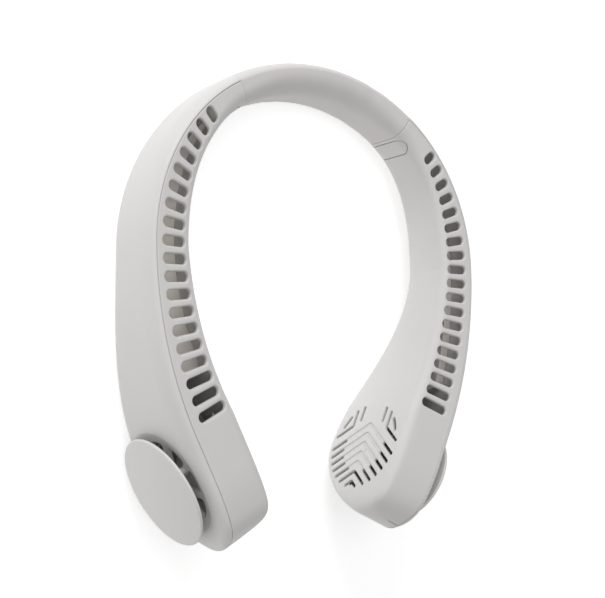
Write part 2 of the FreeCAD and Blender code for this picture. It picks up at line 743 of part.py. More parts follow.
def swept(profile, start, end):
    """Flat (outward, height) profile carried round the band's or the shoulder's arc between two lengths."""
    base, normal = parting_line(start)
    face = flat(*[base + normal * outward + UP * height for outward, height in profile])
    centre, radius = (BAND_CENTRE, BAND_RADIUS) if end <= SEAM_AT else (SHOULDER_CENTRE, SHOULDER_RADIUS)
    return face.revolve(centre, UP * -1, math.degrees((end - start) / radius))


CABLE_HEIGHT = SHELF_TOP + CABLE_RADIUS + FIT


def band_places():
    """Lengths at which the band's sections stand, from one end to the other."""
    end = SEAM_AT - SEAM_GAP
    return [end * (2 * step / BAND_STEPS - 1) for step in range(BAND_STEPS + 1)]


def make_band():
    """Soft hollow sleeve from one seam to the other."""
    places = band_places()
    sleeve = faceted_loft([section_row(at, 0, ROUND_STEPS) for at in places])
    ends = [-SEAM_AT] + places[1:-1] + [SEAM_AT]
    return sleeve.cut(faceted_loft([section_row(at, SLEEVE_WALL, HOLLOW_STEPS) for at in ends]))


def spine_profile(slack):
    half = SPINE_THICKNESS / 2 + slack
    low, high = SPINE_BOTTOM - slack, SPINE_TOP + slack
    inner, outer = SPINE_OUTWARD - half, SPINE_OUTWARD + half
    return [(inner, low), (outer, low), (outer, high), (inner, high)]


def make_spine():
    """Spring steel strip along the band, its ends held in the two plugs."""
    end = band_places()[-2] + SPINE_IN_PLUG
    return swept(spine_profile(0), -end, end)


def make_plug():
    """Plug in the band's end and the start of the arm, with ways for the spine, the cable and the screw."""
    band_from = band_places()[-2]
    arm_to = hollow_places()[1]
    plug = faceted_loft([section_row(at, SLEEVE_WALL + SLACK, HOLLOW_STEPS) for at in (band_from, SEAM_AT)])
    plug = plug.fuse(faceted_loft([section_row(at, WALL + SLACK, HOLLOW_STEPS) for at in (SEAM_AT, arm_to)]))
    way = CABLE_RADIUS + SLACK
    low, high = CABLE_HEIGHT - way, CABLE_HEIGHT + way
    inner, outer = CABLE_OUTWARD - way, CABLE_OUTWARD + way
    profile = [(inner, low), (outer, low), (outer, high), (inner, high)]
    cuts = [swept(spine_profile(SLACK), band_from - OVERRUN, band_from + SPINE_IN_PLUG + SLACK)]
    cuts.append(swept(profile, band_from - OVERRUN, SEAM_AT))
    cuts.append(swept(profile, SEAM_AT, arm_to + OVERRUN))
    cuts.append(clamp_hole(SCREW_RADIUS + SLACK, -OVERRUN, OVERRUN))
    cuts.append(clamp_hole(SCREW_HEAD_RADIUS + SLACK, -OVERRUN, -SCREW_GRIP))
    return plug.cut(cuts).removeSplitter()


def make_clamp_screw():
    """Screw from under the tongue-shaped cover through the plug into the outer shell."""
    head = clamp_hole(SCREW_HEAD_RADIUS, -SCREW_GRIP - SCREW_HEAD, -SCREW_GRIP)
    return head.fuse(clamp_hole(SCREW_RADIUS, -SCREW_GRIP, SCREW_BITE - FIT)).removeSplitter()


def make_cover():
    """Tongue-shaped cover, flush with the inner wall."""
    return skin(COVER_THICKNESS).common(tongue_prism(0))


def tube(points, radius):
    """Cable with a few flat sides through a run of points."""
    rows = []
    for i, point in enumerate(points):
        ahead = points[min(i + 1, len(points) - 1)] - points[max(i - 1, 0)]
        across = ahead.cross(UP).normalize()
        over = across.cross(ahead).normalize()
        turns = [math.radians(FULL_TURN / CABLE_SIDES * side) for side in range(CABLE_SIDES)]
        rows.append([point + (across * math.cos(turn) + over * math.sin(turn)) * radius for turn in turns])
    return faceted_loft(rows)


def make_band_cable():
    places = [-SEAM_AT] + band_places()[1:-1] + [SEAM_AT]
    return tube([place(at, CABLE_OUTWARD, CABLE_HEIGHT) for at in places], CABLE_RADIUS)


def make_arm_cable():
    """Cable from the seam along the shelf, then down and under the impeller to the motor's base."""
    along_shelf = [SEAM_AT + SEAM_GAP] + [at for at in stations(SEAM_AT)[1:] if at <= shelf_places()[-1]]
    points = [place(at, CABLE_OUTWARD, CABLE_HEIGHT) for at in along_shelf]
    points.append(place(along_shelf[-1] + LEAD_PAST_SHELF, CABLE_OUTWARD, CABLE_HEIGHT))
    for radius in (IMPELLER_RADIUS + CHAMBER_GAP + CABLE_RADIUS, BASE_RADIUS + LEAD_GAP):
        points.append(on_circle(radius, FULL_TURN / 2, MOTOR_SEAT + LEAD_LIFT))
    return tube(points, CABLE_RADIUS)


def shelf_places():
    """Stations of the hollow that carry the shelf: from the plug's end to the last one ahead of the head."""
    return [at for at in hollow_places()[1:] if at < HEAD_AT - FIT]


def make_shelf():
    """Shelf between the duct and the battery bay, that follows the hollow's walls."""
    rows = []
    for at in shelf_places():
        size = section(at, WALL + SLACK)
        low, high = SHELF_TOP - SHELF_THICKNESS, SHELF_TOP
        inner, outer = -size["inside"], size["outside"]
        rows.append([place(at, n, z) for n, z in ((inner, low), (outer, low), (outer, high), (inner, high))])
    return faceted_loft(rows)


def make_cell():
    top = SHELF_TOP - SHELF_THICKNESS - SLACK
    half = CELL_LENGTH / 2
    heights = (top - CELL_HEIGHT, top)
    return box_at(WIDEST_AT + CELL_PAST_WIDEST, (-half, half), (CELL_INSIDE, CELL_OUTSIDE), heights)


BOARD_AT = HEAD_AT - BOARD_BEFORE_HEAD
BOARD_INNER_FACE = BOARD_OUTER_FACE - BOARD_THICKNESS
SWITCH_TOP = BOARD_OUTER_FACE + SWITCH_THICKNESS


def make_board():
    half = BOARD_LENGTH / 2
    return box_at(BOARD_AT, (-half, half), (BOARD_INNER_FACE, BOARD_OUTER_FACE), (BOARD_BOTTOM, BOARD_TOP))


def make_switch():
    """Push switch on the board under the button."""
    half = SWITCH_WIDTH / 2
    heights = (BUTTON_HEIGHT - half, BUTTON_HEIGHT + half)
    body = box_at(BOARD_AT, (-half, half), (BOARD_OUTER_FACE, SWITCH_TOP), heights)
    return body.fuse(button_peg(SWITCH_PLUNGER_RADIUS, SWITCH_TOP, SWITCH_TOP + SWITCH_PLUNGER))


def button_peg(radius, low, high):
    base = place(BOARD_AT, low, BUTTON_HEIGHT)
    return prism(base, parting_line(BOARD_AT)[1], radius, high - low, BUTTON_SIDES)


def make_button():
    """Power button: a cap in the outer wall, a flange that keeps it in, and a stem over the switch."""
    wall_outside = section(BOARD_AT)["outside"]
    flange_top = wall_outside - WALL - BUTTON_CLEARANCE
    flange_low = flange_top - BUTTON_FLANGE_THICKNESS
    stem_low = SWITCH_TOP + SWITCH_PLUNGER + BUTTON_TRAVEL + FIT
    flange = button_peg(BUTTON_RADIUS + BUTTON_FLANGE, flange_low, flange_top)
    cap = button_peg(BUTTON_RADIUS, flange_top, wall_outside + BUTTON_PROUD)
    stem = button_peg(BUTTON_STEM_RADIUS, stem_low, flange_low)
    return flange.multiFuse([cap, stem]).removeSplitter()


def button_hole():
    """Hole for the button's cap, with a flat seat behind the wall for its flange."""
    flange_room = BUTTON_RADIUS + BUTTON_FLANGE + BUTTON_CLEARANCE
    seat = button_peg(flange_room, 0, section(BOARD_AT)["outside"] - WALL)
    return seat.fuse(button_peg(BUTTON_RADIUS + BUTTON_CLEARANCE, 0, OVERRUN))


def port_block(grow, low, high):
    """Round-ended block on the port's axis, grown all round; low and high are heights."""
    base, outward = parting_line(BOARD_AT)
    centre = base + outward * PORT_MIDDLE + UP * low
    face = stadium(centre, outward.cross(UP), outward, PORT_WIDTH + 2 * grow, PORT_THICKNESS + 2 * grow)
    return face.extrude(UP * (high - low))


def bottom_at(length, outward):
    """Height of the arm's outer skin at the bottom."""
    size = section(length)
    share = (outward + size["inside"]) / (size["outside"] + size["inside"])
    return size["inner"] + (size["outer"] - size["inner"]) * share


PORT_MIDDLE = BOARD_INNER_FACE - PORT_THICKNESS / 2
PORT_MOUTH = bottom_at(BOARD_AT, PORT_MIDDLE) + PORT_RECESS


def make_port():
    """Charging port: a thin metal sleeve, closed at the back, round a flat tongue."""
    top = PORT_MOUTH + PORT_DEPTH
    sleeve = port_block(0, PORT_MOUTH, top).cut(port_block(-PORT_WALL, PORT_MOUTH - OVERRUN, top - PORT_WALL))
    half = PORT_TONGUE_WIDTH / 2
    thick = (PORT_MIDDLE - PORT_TONGUE / 2, PORT_MIDDLE + PORT_TONGUE / 2)
    return sleeve.fuse(box_at(BOARD_AT, (-half, half), thick, (PORT_MOUTH + PORT_WALL, top - PORT_WALL / 2)))


def port_hole():
    return port_block(SLACK, PORT_MOUTH - OVERRUN, PORT_MOUTH + PORT_DEPTH)


# Right arm's pieces; the left arm's are their mirror images
form = arm_form()
outer_shell, inner_shell = make_shells(form, arm_hollow())
pair = {
    "outer_shell": outer_shell,
    "inner_shell": inner_shell,
    "intake_cap": make_cap(),
    "impeller": make_impeller(),
    "band_plug": make_plug(),
    "clamp_screw": make_clamp_screw(),
    "screw_cover": make_cover(),
    "duct_shelf": make_shelf(),
    "battery_cell": make_cell(),
    "arm_cable": make_arm_cable(),
}
pair.update(make_motor())
nodes = {"neck_band": make_band(), "band_spine": make_spine(), "band_cable": make_band_cable()}
for name, shape in pair.items():
    nodes["left_" + name] = shape.mirror(Vector(0, 0, 0), Vector(1, 0, 0))
    nodes["right_" + name] = shape
nodes["right_outer_shell"] = outer_shell.cut(button_hole())
nodes["right_inner_shell"] = inner_shell.cut(port_hole())
nodes["main_board"] = make_board()
nodes["push_switch"] = make_switch()
nodes["charging_port"] = make_port()
nodes["power_button"] = make_button()


def lowest(points, angle):
    """Height of the lowest of some points after the part is tilted about X."""
    turn = math.radians(angle)
    return min(point.y * math.sin(turn) + point.z * math.cos(turn) for point in points)


def resting_angle():
    """Tilt about X at which the band and the heads touch one floor."""
    band = [vertex.Point for vertex in nodes["neck_band"].Vertexes]
    head = [vertex.Point for vertex in form.Vertexes if vertex.Point.y < 0]
    low, high = -RIGHT_ANGLE / 2, RIGHT_ANGLE / 2
    for _ in range(REST_STEPS):
        middle = (low + high) / 2
        if lowest(band, middle) > lowest(head, middle):
            high = middle
        else:
            low = middle
    return low


# Lay the fan on the floor, centred over the origin
tilt = resting_angle()
lay = FreeCAD.Placement(Vector(0, 0, 0), FreeCAD.Rotation(Vector(1, 0, 0), tilt))
laid = {name: shape.transformed(lay.toMatrix()) for name, shape in nodes.items()}
box = Part.makeCompound(list(laid.values())).optimalBoundingBox(False)
shift = Vector(0, -(box.YMin + box.YMax) / 2, -box.ZMin)
lay = FreeCAD.Placement(shift, FreeCAD.Rotation(Vector(1, 0, 0), tilt))

os.makedirs("parts", exist_ok=True)
for name, shape in laid.items():
    shape.translated(shift).exportStep("parts/" + name + ".step")

# Where the joints turn or slide, for the record
hinge = place(SEAM_AT / 2, 0, (BAND_INNER_DEPTH + BAND_OUTER_DEPTH) / -4)
print("size", box.XLength, box.YLength, box.ZLength, "tilt", tilt)
print("arm hinge", lay.multVec(hinge), lay.Rotation.multVec(UP))
print("fan axis", lay.multVec(FAN_CENTRE), lay.Rotation.multVec(OUTWARD))
button = place(BOARD_AT, section(BOARD_AT)["outside"], BUTTON_HEIGHT)
print("button", lay.multVec(button), lay.Rotation.multVec(parting_line(BOARD_AT)[1]))
print("port", lay.multVec(place(BOARD_AT, PORT_MIDDLE, PORT_MOUTH)), lay.Rotation.multVec(UP))
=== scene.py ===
"""Electric neck fan in the studio: a soft neck band, two slotted arms and the fans in their heads."""
import json

import bpy
import bmesh
import numpy as np
from mathutils import Matrix, Vector


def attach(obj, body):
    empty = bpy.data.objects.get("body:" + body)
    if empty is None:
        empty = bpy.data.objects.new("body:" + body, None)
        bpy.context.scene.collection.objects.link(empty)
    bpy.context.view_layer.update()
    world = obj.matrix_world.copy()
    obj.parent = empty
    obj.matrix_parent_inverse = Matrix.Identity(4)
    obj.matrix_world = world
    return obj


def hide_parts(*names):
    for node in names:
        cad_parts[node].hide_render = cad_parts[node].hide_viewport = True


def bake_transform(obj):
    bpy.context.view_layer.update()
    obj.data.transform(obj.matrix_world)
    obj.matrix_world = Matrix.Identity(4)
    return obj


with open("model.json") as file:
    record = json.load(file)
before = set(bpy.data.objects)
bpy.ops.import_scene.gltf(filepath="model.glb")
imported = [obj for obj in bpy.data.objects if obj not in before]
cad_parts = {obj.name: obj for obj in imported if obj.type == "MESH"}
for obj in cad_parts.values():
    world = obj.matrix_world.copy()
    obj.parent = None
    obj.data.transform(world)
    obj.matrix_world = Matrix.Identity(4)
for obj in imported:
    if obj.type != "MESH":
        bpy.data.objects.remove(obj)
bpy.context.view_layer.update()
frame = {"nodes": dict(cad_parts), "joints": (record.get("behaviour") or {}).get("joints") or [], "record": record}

# Neck band: a soft silicone sleeve over a spring strip, pushed onto a plug at each end.
# Its skin runs on into the arms' skin, so the line and the section they share are worked out here.
# It bends when an arm is opened, so it is made as two halves that meet in the middle.
MM = 0.001
SIDES = ((-1, "left"), (1, "right"))
BACK_Y = 95.5
BAND_RADIUS, SHOULDER_RADIUS, SIDE_RADIUS = 101.0, 86.0, 182.5
SEAM_ANGLE, HEAD_ANGLE = np.radians(30.8), np.radians(26.5)
HEAD_LENGTH, FAN_ALONG, FAN_HEIGHT = 56.8, 21.5, -28.5
BAND = {"inside": 10.3, "outside": 4.2, "inner": 24.0, "outer": 28.0, "edge": 4.6}
ARM = {"inside": 18.6, "outside": 4.4, "inner": 27.0, "outer": 33.0, "edge": 6.5}
HEAD = {"inside": 25.0, "outside": 5.5, "inner": 58.2, "outer": 53.0, "edge": 6.5}
FACE_RISE, FACE_LEAN, SHOULDER_DROP_SHARE = 1.2, np.radians(8.0), 1.8
SEAM_SOFTNESS, BAND_SOFTNESS, SOFT_RUN = 0.75, 1.4, 30.0
TIP_HEIGHT = -10.8
TIP_POWERS = {"top": 1.77, "bottom": 1.75, "inner": 5.0, "outer": 2.2}
END_LEAN, END_REACH, END_ROUND = np.radians(32.5), 35.2, 6.0
SEAM_GAP = 0.15
ARC_STEPS, RUN_STEPS, TOP_STEPS = 24, 40, 30
NO_LENGTH, MERGE_DISTANCE = 1e-12, 1e-7
UP = np.array([0, 0, 1.0])


def heading(angle):
    """Plan direction that leans by an angle from +Y towards +X."""
    angle = np.asarray(angle, float)
    return np.stack([np.sin(angle), np.cos(angle), angle * 0], -1)


END_ANGLE = np.pi / 2 + HEAD_ANGLE
BAND_CENTRE = np.array([0, BACK_Y - BAND_RADIUS, 0])
SHOULDER_CENTRE = BAND_CENTRE + (BAND_RADIUS - SHOULDER_RADIUS) * heading(SEAM_ANGLE)
SIDE_CENTRE = SHOULDER_CENTRE + (SHOULDER_RADIUS - SIDE_RADIUS) * heading(np.pi / 2)
SEAM_AT = BAND_RADIUS * SEAM_ANGLE
WIDEST_AT = SEAM_AT + SHOULDER_RADIUS * (np.pi / 2 - SEAM_ANGLE)
HEAD_AT = WIDEST_AT + SIDE_RADIUS * HEAD_ANGLE
FAN_AT, TIP_AT = HEAD_AT + FAN_ALONG, HEAD_AT + HEAD_LENGTH
OUTWARD = heading(END_ANGLE)
ALONG = np.cross(OUTWARD, UP)
FAN_CENTRE = SIDE_CENTRE + SIDE_RADIUS * OUTWARD + ALONG * FAN_ALONG + UP * FAN_HEIGHT

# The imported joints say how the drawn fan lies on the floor: the arms' hinge axis is the drawing's upright,
# and the impeller's axis passes through the drawing's fan centre.
joints = {joint["name"]: joint for joint in frame["joints"]}
hinge_axis = joints["right_arm_flex"]["axis"]
lean_back = np.arctan2(hinge_axis[1], hinge_axis[2])
TURN = np.array([
    [1, 0, 0],
    [0, np.cos(lean_back), np.sin(lean_back)],
    [0, -np.sin(lean_back), np.cos(lean_back)],
])
SHIFT = np.array(joints["right_impeller_spin"]["pos_m"]) - TURN @ FAN_CENTRE * MM


def laid(points, side=1):
    """Drawn points in millimetres, mirrored for side -1, as they lie on the floor in metres."""
    return (points * [side, 1, 1]) @ TURN.T * MM + SHIFT


def parting_line(length):
    """Points and outward directions along the parting line: three arcs and a straight run, end to end."""
    length = np.asarray(length, float)
    zones = [length <= SEAM_AT, length <= WIDEST_AT, length <= HEAD_AT]
    outward = heading(np.select(zones, [
        length / BAND_RADIUS,
        SEAM_ANGLE + (length - SEAM_AT) / SHOULDER_RADIUS,
        np.pi / 2 + (length - WIDEST_AT) / SIDE_RADIUS,
    ], END_ANGLE))
    radius = np.select(zones, [BAND_RADIUS, SHOULDER_RADIUS, SIDE_RADIUS], SIDE_RADIUS)[..., None]
    zones = [zone[..., None] for zone in zones]
    centre = np.select(zones, [BAND_CENTRE, SHOULDER_CENTRE, SIDE_CENTRE], SIDE_CENTRE)
    straight = np.maximum(length - HEAD_AT, 0)[..., None] * ALONG
    return centre + radius * outward + straight, outward


def ease(value, start, end):
    """0 before start, 1 after end and a smooth rise between them."""
    share = np.clip((value - start) / (end - start), 0, 1)
    return share * share * (3 - 2 * share)


def between(name, length):
    """A section size that runs smoothly from the band's through the arm's to the head's."""
    shoulder, side = ease(length, SEAM_AT, WIDEST_AT), ease(length, WIDEST_AT, FAN_AT)
    return BAND[name] + (ARM[name] - BAND[name]) * shoulder + (HEAD[name] - ARM[name]) * side


def inside_at(length):
    """Thickness towards the neck: it swells round the shoulder and grows evenly down the side."""
    swell = (ARM["inside"] - BAND["inside"]) * ease(length, SEAM_AT, WIDEST_AT)
    growth = (HEAD["inside"] - ARM["inside"]) * np.clip((length - WIDEST_AT) / (HEAD_AT - WIDEST_AT), 0, 1)
    return BAND["inside"] + swell + growth


def closing(length, power):
    """Share of a section's reach that is left past the fan's axis, on a superellipse."""
    share = np.clip((length - FAN_AT) / (TIP_AT - FAN_AT), 0, 1)
    return (1 - share**power) ** (1 / power)


def unit(vectors):
    """Each vector divided by its length."""
    return vectors / np.maximum(np.linalg.norm(vectors, axis=-1, keepdims=True), NO_LENGTH)


def run(start, end, count):
    """Evenly spaced points from start up to, but not including, end."""
    share = np.linspace(0, 1, count, endpoint=False)[:, None]
    return start[..., None, :] * (1 - share) + end[..., None, :] * share


def rounded(before, corner, after, radius, count):
    """The tangent arc that rounds a corner, swept evenly between its two end radii, and its two ends."""
    back, forth = unit(before - corner), unit(after - corner)
    half = np.arccos(np.clip((back * forth).sum(-1), -1, 1)) / 2
    first = corner + back * (radius / np.tan(half))[..., None]
    last = corner + forth * (radius / np.tan(half))[..., None]
    centre = corner + unit(back + forth) * (radius / np.sin(half))[..., None]
    sweep = (np.pi - 2 * half)[..., None, None]
    share = np.linspace(0, 1, count, endpoint=False)[:, None]
    spread = np.sin((1 - share) * sweep) * (first - centre)[..., None, :]
    spread = spread + np.sin(share * sweep) * (last - centre)[..., None, :]
    return centre[..., None, :] + spread / np.sin(sweep), first, last


def section(length):
    """(outward, height) points round each section, from the parting line over the slotted face and back.

    Three corners are rounded, and the top of the outer side is a quarter ellipse.
    """
    narrow, low = closing(length, TIP_POWERS["inner"]), closing(length, TIP_POWERS["bottom"])
    squeeze = np.minimum(low, narrow)
    inside = inside_at(length) * narrow
    outside = between("outside", length) * closing(length, TIP_POWERS["outer"])
    top = TIP_HEIGHT + (FACE_RISE - TIP_HEIGHT) * closing(length, TIP_POWERS["top"])
    inner = TIP_HEIGHT - (between("inner", length) + TIP_HEIGHT) * low
    outer = TIP_HEIGHT - (between("outer", length) + TIP_HEIGHT) * low
    edge = between("edge", length) * squeeze
    lean = inside_at(length) * np.tan(FACE_LEAN) * squeeze
    drop = outside * SHOULDER_DROP_SHARE
    corners = [np.stack(corner, -1) for corner in (
        (inside * 0, top), (-inside, top - lean), (-inside, inner),
        (outside, outer), (outside, top - drop),
    )]
    softness = SEAM_SOFTNESS * (1 - ease(length, SEAM_AT, SEAM_AT + SOFT_RUN))
    softness = softness + (BAND_SOFTNESS - SEAM_SOFTNESS) * ease(SEAM_AT - length, 0, SOFT_RUN)
    soft_edge = edge * (1 + softness)
    rows = []
    start = corners[0]
    for before, corner, after, radius in zip(corners, corners[1:], corners[2:], (soft_edge, edge, edge)):
        arc, first, last = rounded(before, corner, after, radius, ARC_STEPS)
        rows += [run(start, first, RUN_STEPS), arc]
        start = last
    rows.append(run(start, corners[-1], TOP_STEPS))
    turn = np.linspace(0, np.pi / 2, TOP_STEPS + 1)
    across = outside[..., None] * np.cos(turn)
    rise = (top - drop)[..., None] + drop[..., None] * np.sin(turn)
    return np.concatenate(rows + [np.stack([across, rise], -1)], -2)


END_NORMAL = ALONG * np.cos(END_LEAN) + UP * np.sin(END_LEAN)


def placed(length, rows):
    """Section points in the drawing's space, with the head's end planed off and its edge softly rounded."""
    base, outward = parting_line(length)
    points = base[:, None] + outward[:, None] * rows[..., :1] + UP * rows[..., 1:]
    past = (points - FAN_CENTRE) @ END_NORMAL - END_REACH
    soft = np.where(past > END_ROUND, past, np.maximum(past + END_ROUND, 0) ** 2 / (4 * END_ROUND))
    return points - soft[..., None] * END_NORMAL


def grid_faces(rows, columns, closed=False):
    """Quads of a grid, row after row; closed joins the last column to the first."""
    index = np.arange(rows * columns).reshape(rows, columns)
    if closed:
        index = np.concatenate([index, index[:, :1]], 1)
    return np.stack([index[:-1, :-1], index[:-1, 1:], index[1:, 1:], index[1:, :-1]], -1).reshape(-1, 4)


def new_object(name, data):
    """Object for a mesh, a lens or a lamp, linked into the scene."""
    made = bpy.data.objects.new(name, data)
    bpy.context.scene.collection.objects.link(made)
    return made


def new_piece(name, points, faces, side):
    """Smooth mesh object from drawn points, with doubles merged and faces turned outward when mirrored."""
    mesh = bpy.data.meshes.new(name)
    mesh.from_pydata(laid(points.reshape(-1, 3), side), [], [face[::side] for face in faces])
    shape = bmesh.new()
    shape.from_mesh(mesh)
    bmesh.ops.remove_doubles(shape, verts=shape.verts, dist=MERGE_DISTANCE)
    shape.to_mesh(mesh)
    shape.free()
    mesh.polygons.foreach_set("use_smooth", np.ones(len(mesh.polygons), bool))
    return new_object(name, mesh)


class Wire:
    """A shader socket that takes part in sums: operators add Math nodes, and node() adds any other node."""

    def __init__(self, tree, socket=None):
        self.tree, self.socket = tree, socket

    def node(self, kind, settings=(), output=0, **inputs):
        """Adds a node with its settings, then fills its sockets with values or wires.

        A socket is given by its name, or by its place as i0, i1 and so on.
        """
        made = self.tree.nodes.new(kind)
        for key, value in settings:
            setattr(made, key, value)
        for key, value in inputs.items():
            socket = made.inputs[int(key[1:]) if key[1:].isdigit() else key.replace("_", " ")]
            if isinstance(value, Wire):
                self.tree.links.new(value.socket, socket)
            else:
                socket.default_value = value
        return Wire(self.tree, made.outputs[output])

    def maths(self, operation, first, second):
        return self.node("ShaderNodeMath", [("operation", operation)], i0=first, i1=second)

    def __add__(self, other):
        return self.maths("ADD", self, other)

    def __mul__(self, other):
        return self.maths("MULTIPLY", self, other)

    __radd__ = __add__


CLOUD_SCALE, CLOUD_DETAIL, GRAIN_DETAIL, GRAIN_TONE_SHARE = 45.0, 3.0, 2.0, 0.5
ROUGHNESS_DRIFT, BUMP_STRENGTH = 0.08, 0.3


def finish_of(name, colour, drift, grain, depth, roughness, metallic=0.0, stretch=(1, 1, 1)):
    """Finish with a colour that drifts slowly by a share, and a fine grain in its bump and roughness.

    Grain is in waves to the metre and depth in metres.
    Stretch draws the grain out along an axis, as brushing does.
    The mix node takes its two colours at places 6 and 7 and gives the mixed colour at output 2.
    """
    material = bpy.data.materials.new(name)
    material.use_nodes = True
    tree = material.node_tree
    shader = tree.nodes["Principled BSDF"]
    place = Wire(tree).node("ShaderNodeTexCoord", output="Object")
    drawn = place.node("ShaderNodeMapping", Vector=place, Scale=stretch)
    cloud = place.node("ShaderNodeTexNoise", Vector=place, Scale=CLOUD_SCALE, Detail=CLOUD_DETAIL)
    fine = place.node("ShaderNodeTexNoise", Vector=drawn, Scale=grain, Detail=GRAIN_DETAIL)
    tone = 1 - drift + cloud * drift + fine * drift * GRAIN_TONE_SHARE
    sheen = roughness - ROUGHNESS_DRIFT + cloud * ROUGHNESS_DRIFT + fine * ROUGHNESS_DRIFT
    tinted = place.node(
        "ShaderNodeMix", [("data_type", "RGBA"), ("blend_type", "MULTIPLY")], output=2,
        i0=1.0, i6=(*colour, 1), i7=place.node("ShaderNodeCombineColor", Red=tone, Green=tone, Blue=tone))
    bump = place.node("ShaderNodeBump", Height=fine, Strength=BUMP_STRENGTH, Distance=depth)
    tree.links.new(tinted.socket, shader.inputs["Base Color"])
    tree.links.new(sheen.socket, shader.inputs["Roughness"])
    tree.links.new(bump.socket, shader.inputs["Normal"])
    shader.inputs["Metallic"].default_value = metallic
    return material


finishes = {"silicone": finish_of("silicone_band", (0.62, 0.60, 0.598), 0.08, 1500.0, 0.00012, 0.62)}

BAND_END = SEAM_AT - SEAM_GAP
WAVE_LENGTH, WAVE_DEPTH, BAND_INSET = 17.0, 0.05, 0.2
SECOND_LENGTH_SHARE, SECOND_DEPTH_SHARE, MOUTH_SHARE = 0.61, 0.6, 0.7
PLUG_GRIP = 8.0
LIP, LIP_STEPS = 0.3, 4
MIDDLE_RINGS, BAND_START, BAND_RINGS = (0, 0.05), 0.5, 96


def lip_drop(past):
    """How far a quarter round of the lip's radius has dropped, at a distance past where it begins."""
    return LIP - np.sqrt(np.maximum(LIP**2 - np.maximum(past, 0) ** 2, 0))


band_lengths = np.concatenate([
    MIDDLE_RINGS,
    np.linspace(BAND_START, BAND_END - LIP, BAND_RINGS),
    BAND_END - LIP + LIP * np.sin(np.linspace(0, np.pi / 2, LIP_STEPS + 1)[1:]),
])
wave = np.sin(2 * np.pi * band_lengths / WAVE_LENGTH)
wave = wave + SECOND_DEPTH_SHARE * np.sin(2 * np.pi * band_lengths / (SECOND_LENGTH_SHARE * WAVE_LENGTH))
wave = wave * ease(band_lengths, 0, WAVE_LENGTH) * ease(BAND_END - band_lengths, 0, WAVE_LENGTH)
tuck = lip_drop(band_lengths - BAND_END + LIP)
band_rows = section(band_lengths)[:, :-1]
middle = np.array([(BAND["outside"] - BAND["inside"]) / 2, (BAND["inner"] + BAND["outer"]) / -4])
shrink = (WAVE_DEPTH * wave - BAND_INSET - tuck)[:, None, None] / BAND["inside"]
band_rows = band_rows + (band_rows - middle) * shrink
mouth_rows = middle + (band_rows[-1:] - middle) * MOUTH_SHARE
band_points = placed(np.append(band_lengths, BAND_END), np.concatenate([band_rows, mouth_rows]))
band_faces = grid_faces(*band_points.shape[:2], closed=True)


def bend_with_band(piece, slot, node, side):
    """Gives half of a band piece its finish, hides the node it stands for and bakes its placement into its mesh.

    The two ends of its bend, at the middle and at the plug's grip, are worked out but not used.
    """
    piece.data.materials.append(finishes[slot])
    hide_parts(node)
    ends = [
        laid(placed(np.array([at]), middle[None, None])[0, 0], side)
        for at in (0.0, BAND_END - PLUG_GRIP)
    ]
    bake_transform(piece)


for side, label in SIDES:
    sleeve = new_piece(label + "_band_sleeve", band_points, band_faces, side)
    bend_with_band(sleeve, "silicone", "neck_band", side)

# Arm shells: two hard mouldings that meet along the parting line, the inner one slotted and with a grille.
# Both are thin walls with a small round along the joint, so that the joint shows as a fine line.
# The outer one has a dish with windows behind the intake cap, and the right one a hole for the button.
WALL, PARTING_GAP = 1.7, 0.3
SOLID_TIP = 10.0
NO_SPAN = 1e-9
MOULDED = {"drift": 0.05, "grain": 5200.0, "depth": 0.00002}
finishes["shell"] = finish_of("moulded_shell", (0.62, 0.61, 0.598), roughness=0.46, **MOULDED)


def crossing(rows, level, last=False):
    """Fractional index along each section at which it first, or last, reaches an outward distance."""
    over = rows[..., 0] >= level
    if last:
        at = over.shape[1] - 1 - np.argmax(over[:, ::-1], 1)
        before = np.minimum(at + 1, over.shape[1] - 1)
    else:
        at = np.argmax(over[:, 1:], 1) + 1
        before = at - 1
    here = np.take_along_axis(rows[..., 0], at[:, None], 1)[:, 0]
    there = np.take_along_axis(rows[..., 0], before[:, None], 1)[:, 0]
    span = there - here
    steep = np.abs(span) > NO_SPAN
    share = np.where(steep, (level - here) / np.where(steep, span, 1), 0)
    return at + (before - at) * np.clip(share, 0, 1)


def resampled(rows, start, end, shares):
    """Points on each section at shares of the way between two fractional indices, on straight runs."""
    at = start[:, None] + (end - start)[:, None] * shares
    low = np.clip(np.floor(at).astype(int), 0, rows.shape[1] - 2)
    here = np.take_along_axis(rows, low[..., None], 1)
    there = np.take_along_axis(rows, low[..., None] + 1, 1)
    return here + (there - here) * (at - low)[..., None]


def running(points, axis):
    """Distance walked along one grid direction from its first row."""
    steps = np.linalg.norm(np.diff(points, axis=axis), axis=-1)
    return np.insert(np.cumsum(steps, axis), 0, 0, axis)


LIP_SHARES, EDGE_SHARES = np.array([0, 0.2, 0.5, 1]), np.array([0, 0.001, 0.0025, 0.005])
ARM_RINGS, TIP_RINGS, SHEET_STEPS, SHEET_START_SHARE = 200, 60, 88, 0.012
arm_lengths = np.concatenate([
    SEAM_AT + LIP * LIP_SHARES,
    np.linspace(SEAM_AT + 3 * LIP, FAN_AT, ARM_RINGS),
    FAN_AT + (TIP_AT - FAN_AT) * np.sin(np.linspace(0, np.pi / 2, TIP_RINGS)[1:]),
])
arm_rows = section(arm_lengths)
sheet_shares = np.concatenate([
    EDGE_SHARES,
    np.linspace(SHEET_START_SHARE, 1 - SHEET_START_SHARE, SHEET_STEPS),
    1 - EDGE_SHARES[::-1],
])
start = np.zeros(len(arm_lengths))
inner_sheet = placed(arm_lengths, resampled(arm_rows, start, crossing(arm_rows, 0.0), sheet_shares))
first, last = crossing(arm_rows, PARTING_GAP), crossing(arm_rows, PARTING_GAP, last=True)
outer_sheet = placed(arm_lengths, resampled(arm_rows, first, last, sheet_shares))


